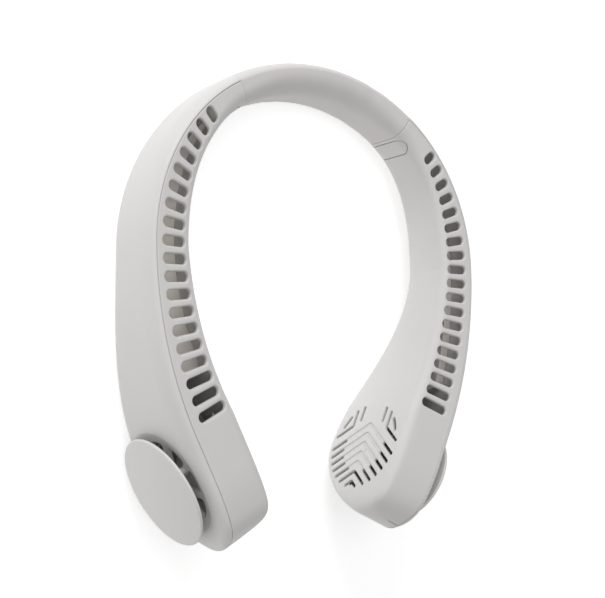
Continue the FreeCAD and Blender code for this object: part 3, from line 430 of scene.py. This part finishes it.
def wall_of(name, lengths, sheet, side, thickness):
    """Closed wall: its face is the sheet with its borders rounded, and its back lies a thickness behind.

    Near the tip the wall is solid: there its back is the flat strip between the sheet's two long borders.
    """
    rows, columns = sheet.shape[:2]
    across = running(sheet, 1)
    border = np.minimum(np.minimum(across, across[:, -1:] - across), running(sheet, 0))
    depth = lip_drop(LIP - border) * ease(TIP_AT - lengths, SOLID_TIP, 2 * SOLID_TIP)[:, None]
    normal = unit(np.cross(np.gradient(sheet, axis=1), np.gradient(sheet, axis=0)))
    face = sheet - normal * depth[..., None]
    share = np.linspace(0, 1, columns)[:, None]
    strip = face[:, :1] * (1 - share) + face[:, -1:] * share
    hollow = (lengths < TIP_AT - SOLID_TIP)[:, None, None]
    back = np.where(hollow, sheet - normal * thickness, strip)
    place = np.arange(columns - 1)
    end = np.stack([place + 1, place, 2 * columns - 1 - place, 2 * columns - 2 - place], -1)
    faces = [grid_faces(rows, 2 * columns, closed=True), end, end[:, ::-1] + (rows - 1) * 2 * columns]
    return new_piece(name, np.concatenate([face, back[:, ::-1]], 1), np.concatenate(faces), side)


def make_own(piece):
    """Makes the modifiers' result the piece's own mesh."""
    bpy.context.view_layer.update()
    shown = piece.evaluated_get(bpy.context.evaluated_depsgraph_get())
    piece.data = bpy.data.meshes.new_from_object(shown)
    piece.modifiers.clear()


def cut(piece, tool, how="DIFFERENCE"):
    """Boolean with a tool mesh, which is then thrown away."""
    step = piece.modifiers.new("cut", "BOOLEAN")
    step.operation, step.solver, step.object = how, "EXACT", tool
    make_own(piece)
    bpy.data.objects.remove(tool)


def plugs(name, rows, side):
    """Closed plugs, one for each leading index, from levels of rings."""
    count, levels, around = rows.shape[:3]
    ring = np.arange(around)
    faces = []
    for first in levels * around * np.arange(count):
        faces += list(grid_faces(levels, around, closed=True) + first)
        faces += [ring[::-1] + first, ring + first + (levels - 1) * around]
    piece = new_piece(name, rows, faces, side)
    shape = bmesh.new()
    shape.from_mesh(piece.data)
    bmesh.ops.recalc_face_normals(shape, faces=shape.faces)
    shape.to_mesh(piece.data)
    shape.free()
    return piece


RING_STEPS = 40


def round_ended(centre, long_way, short_way, length, width):
    """Rings with round ends: the two halves of a circle, drawn apart along the long way."""
    turn = np.linspace(0, 2 * np.pi, RING_STEPS, endpoint=False) + np.pi / RING_STEPS
    length, width = np.asarray(length, float)[..., None], np.asarray(width, float)[..., None]
    reach = (length - width) / 2 * np.sign(np.sin(turn)) + width / 2 * np.sin(turn)
    spread = width / 2 * np.cos(turn)
    return centre[:, None] + long_way[:, None] * reach[..., None] + short_way[:, None] * spread[..., None]


SLOT_PITCH, SLOT_WIDTH, SLOT_ROW = 7.4, 4.3, 8.7
SLOTS_ABOVE, SLOTS_BELOW = 8, 10
SLOT_LENGTH_SHARE, SLOT_CENTRE_SHARE, SLOT_BACK = 0.63, 0.6, 2.4
SLOT_LIP, SLOT_OVER, SLOT_DEPTH = 0.9, 3.0, 7.0
ROUND_SHARES = ((0.95, 0.03), (0.5, -0.134), (0.134, -0.5), (0, -1))
SLOT_LEVELS = [(SLOT_LIP, SLOT_OVER)]
SLOT_LEVELS += [(SLOT_LIP * grow, SLOT_LIP * rise) for grow, rise in ROUND_SHARES]
SLOT_LEVELS += [(0, -SLOT_DEPTH)]


def slot_rings():
    """Levels of round-ended rings for each slot, square to the leaning face and flared where they meet it.

    The slots have the same pitch along their own row, which lies inside the parting line.
    """
    above = SLOT_PITCH * SHOULDER_RADIUS / (SHOULDER_RADIUS - SLOT_ROW) * np.arange(-SLOTS_ABOVE, 0)
    below = SLOT_PITCH * SIDE_RADIUS / (SIDE_RADIUS - SLOT_ROW) * np.arange(SLOTS_BELOW + 1)
    at = WIDEST_AT + np.concatenate([above, below])
    base, outward = parting_line(at)
    inside = inside_at(at)
    back = (inside * SLOT_CENTRE_SHARE - SLOT_BACK)[:, None]
    centre = base - outward * back + UP * (FACE_RISE - back * np.tan(FACE_LEAN))
    long_way = unit(outward + UP * np.tan(FACE_LEAN))
    short_way = np.cross(outward, UP)
    normal = np.cross(short_way, long_way)
    normal = normal * np.sign(normal[:, 2:])
    length = inside * SLOT_LENGTH_SHARE
    return np.stack([
        round_ended(centre + normal * height, long_way, short_way, length + 2 * grow, SLOT_WIDTH + 2 * grow)
        for grow, height in SLOT_LEVELS
    ], 1)


GRILLE_RADIUS, GRILLE_OPEN_RADIUS, GRILLE_LINE, GRILLE_FINE_LINE = 22.4, 14.2, 1.8, 1.7
GRILLE_GROOVE, GRILLE_REACH, GRILLE_LIP = 0.6, 6.0, 0.45
GRILLE_OVER, GRILLE_SKIN, GRILLE_ROUND_SHARE, LINE_END_SHARE = 3.0, 0.03, 0.3, 0.6
PASS_SHARES = (1.0, 0.99, 0.97, 0.98, 0.96)
CHEVRONS, CHEVRON_FIRST, CHEVRON_STEP, CHEVRON_ANGLE = 7, -11.7, 5.2, np.radians(55.0)
RAIL_HEIGHTS, RAIL_ENDS = (8.2, 12.6), (-13.5, -10.0)
SLIVER_START, SLIVER_END = (-15.0, 15.8), (-9.0, 19.2)
MARK_ALONG, MARK_HEIGHT, MARK_RADIUS, MARK_DEPTH, MARK_STEPS = 3.0, 3.0, 0.9, 0.25, 24


def fan_point(along, outward, height):
    """Points given from the fan's axis."""
    parts = [np.multiply.outer(np.asarray(value, float), way)
             for value, way in ((along, ALONG), (outward, OUTWARD), (height, UP))]
    return FAN_CENTRE + sum(parts)


def to_circle(start, direction, radius):
    """Where a ray in the grille's plane leaves a circle round the fan's axis."""
    inward = start @ direction
    return start + direction * (np.sqrt(inward**2 - start @ start + radius**2) - inward)


def grille_passes():
    """(start, end) lines of the grille with a depth and a width, in passes whose lines don't cross.

    For each half the shallow chevrons over the motor come first, then the open ends, rails and rim slots.
    The bends past the rails and the middle of the smallest chevron come last.
    Each pass has its own share of depth and width, so that no two cuts share a plane.
    """
    passes = []
    bends = []
    for sign in (1, -1):
        slant = np.array([np.cos(CHEVRON_ANGLE), sign * np.sin(CHEVRON_ANGLE)])
        apexes = CHEVRON_FIRST + CHEVRON_STEP * np.arange(CHEVRONS)
        tips = np.stack([apexes, apexes * 0], -1)
        shallow = [
            (tip, to_circle(tip, slant, GRILLE_OPEN_RADIUS))
            for tip in tips if tip[0] < GRILLE_OPEN_RADIUS
        ]
        starts = [end for _, end in shallow] + list(tips[len(shallow):])
        through = [(start, to_circle(start, slant, GRILLE_RADIUS)) for start in starts]
        for height, end in zip(RAIL_HEIGHTS, RAIL_ENDS):
            rail = np.array([end, sign * height])
            through.append((rail, to_circle(rail, np.array([-1.0, 0]), GRILLE_RADIUS)))
        through.append((np.multiply(SLIVER_START, (1, sign)), np.multiply(SLIVER_END, (1, sign))))
        bends.append((rail, to_circle(rail, slant, GRILLE_RADIUS)))
        passes += [(shallow, GRILLE_GROOVE, GRILLE_FINE_LINE), (through, GRILLE_REACH, GRILLE_LINE)]
    bends.append((tips[-1] + [GRILLE_LINE / 2, 0], np.array([GRILLE_RADIUS - GRILLE_LINE / 2, 0])))
    passes.append((bends, GRILLE_REACH, GRILLE_FINE_LINE))
    return [
        (lines, depth * share, width * share)
        for (lines, depth, width), share in zip(passes, PASS_SHARES)
    ]


def grille_rings(lines, depth, width):
    """Levels of round-ended rings for lines in the grille, flared where they meet the face."""
    start, end = (np.array(value) for value in zip(*lines))
    ahead, halfway = unit(end - start), (start + end) / 2
    length = np.linalg.norm(end - start, axis=-1) + width * LINE_END_SHARE
    long_way = ahead[:, :1] * ALONG + ahead[:, 1:] * UP
    short_way = np.cross(long_way, OUTWARD)
    flare = GRILLE_LIP * width / GRILLE_LINE
    half_round = GRILLE_ROUND_SHARE * flare
    levels = []
    for grow, past in (
            (flare, -GRILLE_OVER), (flare, -GRILLE_SKIN), (half_round, half_round), (0, flare), (0, depth)):
        centre = fan_point(halfway[:, 0], past - HEAD["inside"], halfway[:, 1])
        levels.append(round_ended(centre, long_way, short_way, length + 2 * grow, width + 2 * grow))
    return np.stack(levels, 1)


TURN_STEPS = 96


def turned(name, profile, centre, axis, side, around=TURN_STEPS):
    """Closed plug of (radius, outward) rows, turned round a level axis."""
    turn = np.linspace(0, 2 * np.pi, around, endpoint=False)
    circle = np.multiply.outer(np.cos(turn), np.cross(axis, UP)) + np.multiply.outer(np.sin(turn), UP)
    profile = np.asarray(profile, float)
    rings = centre + profile[:, :1, None] * circle + profile[:, 1:, None] * axis
    return plugs(name, rings[None], side)


DISH_FLOOR, DISH_FLOOR_RADIUS, DISH_RADIUS, DISH_OVER, DISH_STEPS = 3.7, 19.5, 29.0, 0.1, 24
WINDOWS, WINDOW_RADII, SPOKE_WIDTH = 9, (9.0, 21.5), 3.6
WINDOW_POWER, WINDOW_STEPS = 6.0, 56
BASE_RADIUS, MOTOR_SEAT = 11.0, -22.6


def dish_profile():
    """Floor of the dish and its soft rise into the outer wall."""
    radius = np.linspace(DISH_FLOOR_RADIUS, DISH_RADIUS, DISH_STEPS)
    depth = HEAD["outside"] + DISH_OVER - DISH_FLOOR
    rise = DISH_FLOOR + depth * ease(radius, DISH_FLOOR_RADIUS, DISH_RADIUS)
    return np.append(np.stack([radius, rise], -1), [[DISH_RADIUS, HEAD["outside"] + 5 * WALL]], 0)


def window_rings():
    """Rings of the dish's windows: rounded boxes in radius and angle, with even spokes between them."""
    turn = np.linspace(0, 2 * np.pi, WINDOW_STEPS, endpoint=False)
    squared = [np.sign(way) * np.abs(way) ** (2 / WINDOW_POWER) for way in (np.cos(turn), np.sin(turn))]
    radius = np.mean(WINDOW_RADII) + (WINDOW_RADII[1] - WINDOW_RADII[0]) / 2 * squared[0]
    half = np.pi / WINDOWS - np.arcsin(SPOKE_WIDTH / 2 / radius)
    angle = 2 * np.pi / WINDOWS * (np.arange(WINDOWS)[:, None] + 0.5) + half * squared[1]
    along, height = radius * np.cos(angle), radius * np.sin(angle)
    levels = (DISH_FLOOR - 3 * WALL, DISH_FLOOR + 3 * WALL)
    return np.stack([fan_point(along, along * 0 + level, height) for level in levels], 1)


CREASE_DEGREES = 32


def sharpen(piece, degrees=CREASE_DEGREES):
    """Smooth shading with a crease wherever two faces meet at more than an angle."""
    piece.data.polygons.foreach_set("use_smooth", np.ones(len(piece.data.polygons), bool))
    piece.data.set_sharp_from_angle(angle=np.radians(degrees))


def dress(piece, slot, node, body):
    """Gives a piece its finish, hides the node it stands for and hangs it on the body that carries it."""
    piece.data.materials.clear()
    piece.data.materials.append(finishes[slot])
    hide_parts(node)
    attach(piece, body)


BOARD_AT, BUTTON_HEIGHT, BUTTON_RADIUS, BUTTON_CLEARANCE = HEAD_AT - 30.0, -24.0, 4.6, 0.3
PORT_MIDDLE, PORT_WIDTH, PORT_THICKNESS, PORT_TOP = -6.0, 8.9, 3.2, -34.0
PORT_CLEARANCE, PORT_DEPTH = 0.3, 30.0
TONGUE_WIDTH, TONGUE_FROM_SEAM, TONGUE_TOP, TONGUE_LENGTH, TONGUE_REACH = 8.7, 3.0, -3.0, 60.0, -4.0
TONGUE_GAP = 0.5
HEAD_FORM_BEFORE, HEAD_FORM_SHORT, HEAD_FORM_SHARE = 15.0, 0.3, 0.985
board_base, board_outward = parting_line(BOARD_AT)
tongue_base, tongue_outward = parting_line(SEAM_AT + TONGUE_FROM_SEAM + TONGUE_WIDTH / 2)


def prism(centres, long_way, short_way, length, width):
    """Round-ended rings of one size at each of the centres."""
    return np.stack([
        round_ended(centre[None], long_way[None], short_way[None], length, width)
        for centre in centres
    ], 1)


def tongue_rings(grow):
    """Round-ended prism of the tongue-shaped cover in the neck-side wall, open at the bottom."""
    centre = tongue_base + UP * (TONGUE_TOP - TONGUE_LENGTH / 2)
    centres = [centre + tongue_outward * out for out in (TONGUE_REACH, -2 * BAND["inside"])]
    sideways = np.cross(tongue_outward, UP)
    return prism(centres, UP, sideways, TONGUE_LENGTH + 2 * grow, TONGUE_WIDTH + 2 * grow)


in_head = (arm_lengths > HEAD_AT - HEAD_FORM_BEFORE) & (arm_lengths < TIP_AT - HEAD_FORM_SHORT)
head_rows = section(arm_lengths[in_head])[:, :-1]
head_middle = head_rows.mean(1, keepdims=True)
head_form = placed(arm_lengths[in_head], head_middle + (head_rows - head_middle) * HEAD_FORM_SHARE)[None]
block_rows = [(DISH_RADIUS, DISH_FLOOR - WALL), (DISH_RADIUS, HEAD["outside"] + WALL)]
pad_rows = [(BASE_RADIUS + WALL, -HEAD["inside"] + WALL / 2), (BASE_RADIUS + WALL, MOTOR_SEAT)]
mark_centre = fan_point(MARK_ALONG, -HEAD["inside"], MARK_HEIGHT)
mark_rows = [(MARK_RADIUS, MARK_DEPTH), (MARK_RADIUS, -WALL)]
port_centre = board_base + board_outward * PORT_MIDDLE
port_rings = prism(
    [port_centre + UP * height for height in (PORT_TOP - PORT_DEPTH, PORT_TOP)],
    np.cross(board_outward, UP), board_outward,
    PORT_WIDTH + PORT_CLEARANCE, PORT_THICKNESS + PORT_CLEARANCE,
)
button_base = board_base + UP * BUTTON_HEIGHT
hole_radius = BUTTON_RADIUS + BUTTON_CLEARANCE
hole_rows = [(hole_radius, 0), (hole_radius, 3 * WALL + ARM["outside"])]
for side, label in SIDES:
    inner_shell = wall_of(label + "_inner_housing", arm_lengths, inner_sheet, side, WALL)
    cut(inner_shell, plugs("tongue", tongue_rings(TONGUE_GAP), side))
    cut(inner_shell, plugs("slots", slot_rings(), side))
    if label == "right":
        cut(inner_shell, plugs("port", port_rings, side))
    cut(inner_shell, turned("pad", pad_rows, FAN_CENTRE, OUTWARD, side), "UNION")
    for lines, depth, width in grille_passes():
        cut(inner_shell, plugs("grille", grille_rings(lines, depth, width), side))
    cut(inner_shell, turned("mark", mark_rows, mark_centre, OUTWARD, side, MARK_STEPS))
    outer_shell = wall_of(label + "_outer_housing", arm_lengths, outer_sheet, side, WALL)
    block = turned("block", block_rows, FAN_CENTRE, OUTWARD, side)
    cut(block, plugs("head", head_form, side), "INTERSECT")
    cut(outer_shell, block, "UNION")
    cut(outer_shell, turned("dish", dish_profile(), FAN_CENTRE, OUTWARD, side))
    cut(outer_shell, plugs("windows", window_rings(), side))
    if label == "right":
        cut(outer_shell, turned("button_hole", hole_rows, button_base, board_outward, side))
    for shell, node in ((inner_shell, "_inner_shell"), (outer_shell, "_outer_shell")):
        sharpen(shell)
        dress(shell, "shell", label + node, label + "_arm")

# Tongue-shaped covers over the clamp screws, pressed flush into the neck-side walls beside the seams.
COVER_THICKNESS = 0.9
finishes["cover"] = finish_of("cover_plastic", (0.61, 0.60, 0.588), roughness=0.46, **MOULDED)
by_seam = (arm_lengths > SEAM_AT + LIP) & (arm_lengths < SEAM_AT + TONGUE_FROM_SEAM + 2 * TONGUE_WIDTH)
cover_lengths, cover_sheet = arm_lengths[by_seam], inner_sheet[by_seam]
for side, label in SIDES:
    cover = wall_of(label + "_tongue_cover", cover_lengths, cover_sheet, side, COVER_THICKNESS)
    cut(cover, plugs("tongue", tongue_rings(0), side), "INTERSECT")
    sharpen(cover)
    dress(cover, "cover", label + "_screw_cover", label + "_arm")

# Intake caps: domed mouldings that stand over the dish on three posts, so that air comes in all round.
CAP_RADIUS, CAP_RIM, CAP_THICKNESS, CAP_CROWN, CAP_POLE = 26.0, 9.1, 1.6, 2.0, 0.01
CAP_STEPS, CAP_RIM_STEPS, CAP_DOME_STEPS, CAP_CREASE_DEGREES = 160, 14, 30, 40
CAP_POSTS, POST_CIRCLE, POST_RADIUS, POST_STEPS = 3, 17.0, 1.6, 32
finishes["cap"] = finish_of("cap_plastic", (0.62, 0.61, 0.598), roughness=0.44, **MOULDED)


def cap_profile():
    """Underside, half-round rim and dome of the cap."""
    edge = CAP_THICKNESS / 2
    turn = np.linspace(-np.pi / 2, np.pi / 2, CAP_RIM_STEPS)
    rim = np.stack([CAP_RADIUS - edge + edge * np.cos(turn), CAP_RIM + edge + edge * np.sin(turn)], -1)
    share = np.linspace(1, 0, CAP_DOME_STEPS)[1:]
    dome = np.stack([(CAP_RADIUS - edge) * share, CAP_RIM + CAP_THICKNESS + CAP_CROWN * (1 - share**2)], -1)
    return np.concatenate([[[CAP_POLE, CAP_RIM]], rim, dome[:-1], [[CAP_POLE, dome[-1, 1]]]])


post_rows = [(POST_RADIUS, DISH_FLOOR), (POST_RADIUS, CAP_RIM + CAP_THICKNESS / 2)]
for side, label in SIDES:
    cap = turned(label + "_cap", cap_profile(), FAN_CENTRE, OUTWARD, side, CAP_STEPS)
    for turn in 2 * np.pi / CAP_POSTS * np.arange(CAP_POSTS):
        foot = fan_point(POST_CIRCLE * np.cos(turn), 0, POST_CIRCLE * np.sin(turn))
        cut(cap, turned("post", post_rows, foot, OUTWARD, side, POST_STEPS), "UNION")
    sharpen(cap, CAP_CREASE_DEGREES)
    dress(cap, "cap", label + "_intake_cap", label + "_arm")

# Power button: a moulded cap in the right arm's outer wall, held by its flange, over the switch.
BUTTON_FLANGE, FLANGE_THICKNESS, FLANGE_PLAY = 0.9, 0.8, 0.1
BUTTON_PROUD, STEM_RADIUS, STEM_FOOT = 0.6, 1.5, -0.25
BUTTON_ROUND, BUTTON_ROUND_STEPS = 0.5, 8
finishes["button"] = finish_of("button_plastic", (0.60, 0.59, 0.578), roughness=0.4, **MOULDED)
wall_outside = between("outside", BOARD_AT)
flange_top = wall_outside - WALL - BUTTON_CLEARANCE - FLANGE_PLAY
flange_foot, flange_radius = flange_top - FLANGE_THICKNESS, BUTTON_RADIUS + BUTTON_FLANGE
button_top = wall_outside + BUTTON_PROUD
turn = np.linspace(0, np.pi / 2, BUTTON_ROUND_STEPS)
round_over = np.stack([
    BUTTON_RADIUS - BUTTON_ROUND * (1 - np.cos(turn)),
    button_top - BUTTON_ROUND * (1 - np.sin(turn)),
], -1)
button_profile = np.concatenate([[
    (STEM_RADIUS, STEM_FOOT), (STEM_RADIUS, flange_foot), (flange_radius, flange_foot),
    (flange_radius, flange_top), (BUTTON_RADIUS, flange_top),
], round_over])
button = turned("button_cap", button_profile, button_base, board_outward, 1)
sharpen(button)
dress(button, "button", "power_button", "power_button")

# Inside the arms everything keeps its CAD solid: plugs and screws, the duct shelf, cells and cables,
# the board with its switch and port, and the two motors with their impellers. Each finish gives its name,
# colour, drift, grain, depth and roughness, and some of them how metallic they are and a stretch.
finishes.update({
    "inner_plastic": finish_of("inner_plastic", (0.90, 0.85, 0.79), 0.10, 2600.0, 0.00004, 0.6),
    "impeller": finish_of("impeller_plastic", (0.72, 0.70, 0.67), 0.08, 2600.0, 0.00003, 0.5),
    "base": finish_of("motor_base_plastic", (0.50, 0.49, 0.48), 0.15, 2600.0, 0.00003, 0.55),
    "steel": finish_of("drawn_steel", (0.56, 0.56, 0.57), 0.12, 1800.0, 0.00001, 0.34, 1.0, (6, 6, 0.4)),
    "bronze": finish_of("sintered_bronze", (0.52, 0.36, 0.18), 0.2, 6000.0, 0.00003, 0.5, 1.0),
    "magnet": finish_of("bonded_magnet", (0.07, 0.07, 0.075), 0.2, 5000.0, 0.00003, 0.6, 0.4),
    "copper": finish_of(
        "enamelled_copper", (0.55, 0.24, 0.10), 0.2, 3000.0, 0.00006, 0.35, 1.0, (0.3, 4, 4)),
    "cell": finish_of("cell_foil", (0.58, 0.60, 0.62), 0.12, 700.0, 0.00015, 0.38, 0.9),
    "cable": finish_of("cable_jacket", (0.40, 0.39, 0.38), 0.15, 2600.0, 0.00004, 0.6),
    "board": finish_of("solder_mask", (0.03, 0.16, 0.07), 0.25, 900.0, 0.00005, 0.4),
    "switch": finish_of("switch_body", (0.05, 0.05, 0.055), 0.15, 2600.0, 0.00003, 0.45),
})
for row in frame["record"]["subparts"]:
    node = frame["nodes"][row["node"]]
    node.data.materials.clear()
    node.data.materials.append(finishes[row["material_slot"]])

# The band's spring strip and cable bend with their sleeve, so they are drawn again in the same two halves.
SPINE_END, SPINE_OUTWARD, SPINE_THICKNESS, SPINE_TOP, SPINE_BOTTOM = 52.0, -1.6, 0.8, -5.0, -18.0
CABLE_OUTWARD, CABLE_HEIGHT, CABLE_RADIUS = -5.5, -13.05, 1.3
CABLE_STEPS, CORE_RINGS = 24, 64
corners = np.array([[-1, SPINE_BOTTOM], [1, SPINE_BOTTOM], [1, SPINE_TOP], [-1, SPINE_TOP]])
turn = np.linspace(0, 2 * np.pi, CABLE_STEPS, endpoint=False)
cores = {
    "spine": ("steel", SPINE_END, corners * [SPINE_THICKNESS / 2, 1] + [SPINE_OUTWARD, 0]),
    "cable": ("cable", BAND_END, np.stack(
        [CABLE_OUTWARD + CABLE_RADIUS * np.cos(turn), CABLE_HEIGHT + CABLE_RADIUS * np.sin(turn)], -1)),
}
for name, (slot, end, outline) in cores.items():
    core_lengths = np.linspace(0, end, CORE_RINGS)
    core_points = placed(core_lengths, np.broadcast_to(outline, (len(core_lengths), *outline.shape)))
    for side, label in SIDES:
        core = plugs(label + "_" + name + "_half", core_points[None], side)
        sharpen(core)
        bend_with_band(core, slot, "band_" + name, side)

# Camera where the photographer stood, above and beside the left arm, the band at the top of the picture.
EYE = np.array([-287.03, -55.69, 338.74])
LOOK, ROLL_UP = np.array([0.61876, 0.09764, -0.77949]), np.array([-0.05125, 0.99515, 0.08397])
PHOTO_WIDTH, FOCAL_PIXELS = 605, 960
SENSOR_WIDTH, NEAREST, FARTHEST = 36.0, 0.01, 20
lens = bpy.data.cameras.new("camera")
lens.sensor_width = SENSOR_WIDTH
lens.lens = FOCAL_PIXELS / PHOTO_WIDTH * SENSOR_WIDTH
lens.clip_start, lens.clip_end = NEAREST, FARTHEST
camera = new_object("camera", lens)
look, roll_up = Vector(TURN @ LOOK), Vector(TURN @ ROLL_UP)
right = look.cross(roll_up).normalized()
axes = Matrix((right, right.cross(look).normalized(), -look)).transposed()
camera.matrix_world = Matrix.Translation(laid(EYE)) @ axes.to_4x4()
bpy.context.scene.camera = camera

# Studio: a plain white floor that stays bright, an even sky and soft lamps, the strongest past the band.
FLOOR_HALF, FLOOR_GLOW, SKY_STRENGTH = 4.0, 0.42, 0.35
WHITE, PAPER_WHITE, PAPER_ROUGHNESS = (1, 1, 1, 1), (0.9, 0.9, 0.9, 1), 0.9
AIM = (0, 0, 0.03)
floor_mesh = bpy.data.meshes.new("floor")
floor_corners = [(x * FLOOR_HALF, y * FLOOR_HALF, 0) for x, y in ((-1, -1), (1, -1), (1, 1), (-1, 1))]
floor_mesh.from_pydata(floor_corners, [], [(0, 1, 2, 3)])
floor = new_object("floor", floor_mesh)
paper = bpy.data.materials.new("paper")
paper.use_nodes = True
paper_inputs = paper.node_tree.nodes["Principled BSDF"].inputs
paper_inputs["Base Color"].default_value = PAPER_WHITE
paper_inputs["Roughness"].default_value = PAPER_ROUGHNESS
paper_inputs["Emission Color"].default_value = WHITE
paper_inputs["Emission Strength"].default_value = FLOOR_GLOW
floor_mesh.materials.append(paper)
world = bpy.data.worlds.new("sky")
world.use_nodes = True
sky_inputs = world.node_tree.nodes["Background"].inputs
sky_inputs["Color"].default_value = WHITE
sky_inputs["Strength"].default_value = SKY_STRENGTH
bpy.context.scene.world = world


def lamp(name, place, size, watts):
    """Round soft lamp that looks at the fan."""
    light = bpy.data.lights.new(name, "AREA")
    light.shape, light.size, light.energy = "DISK", size, watts
    stand = new_object(name, light)
    facing = (Vector(AIM) - Vector(place)).to_track_quat("-Z", "Y")
    stand.matrix_world = Matrix.Translation(place) @ facing.to_matrix().to_4x4()


lamp("key", (-0.45, 1.05, 0.6), 0.6, 6.6)
lamp("back", (0.1, 1.0, 0.75), 0.6, 1.0)
lamp("top", (-0.3, 0.25, 1.15), 0.9, 3.8)
lamp("front", (-0.75, -0.2, 0.9), 0.5, 1.2)
bpy.context.scene.view_settings.view_transform = "Standard"
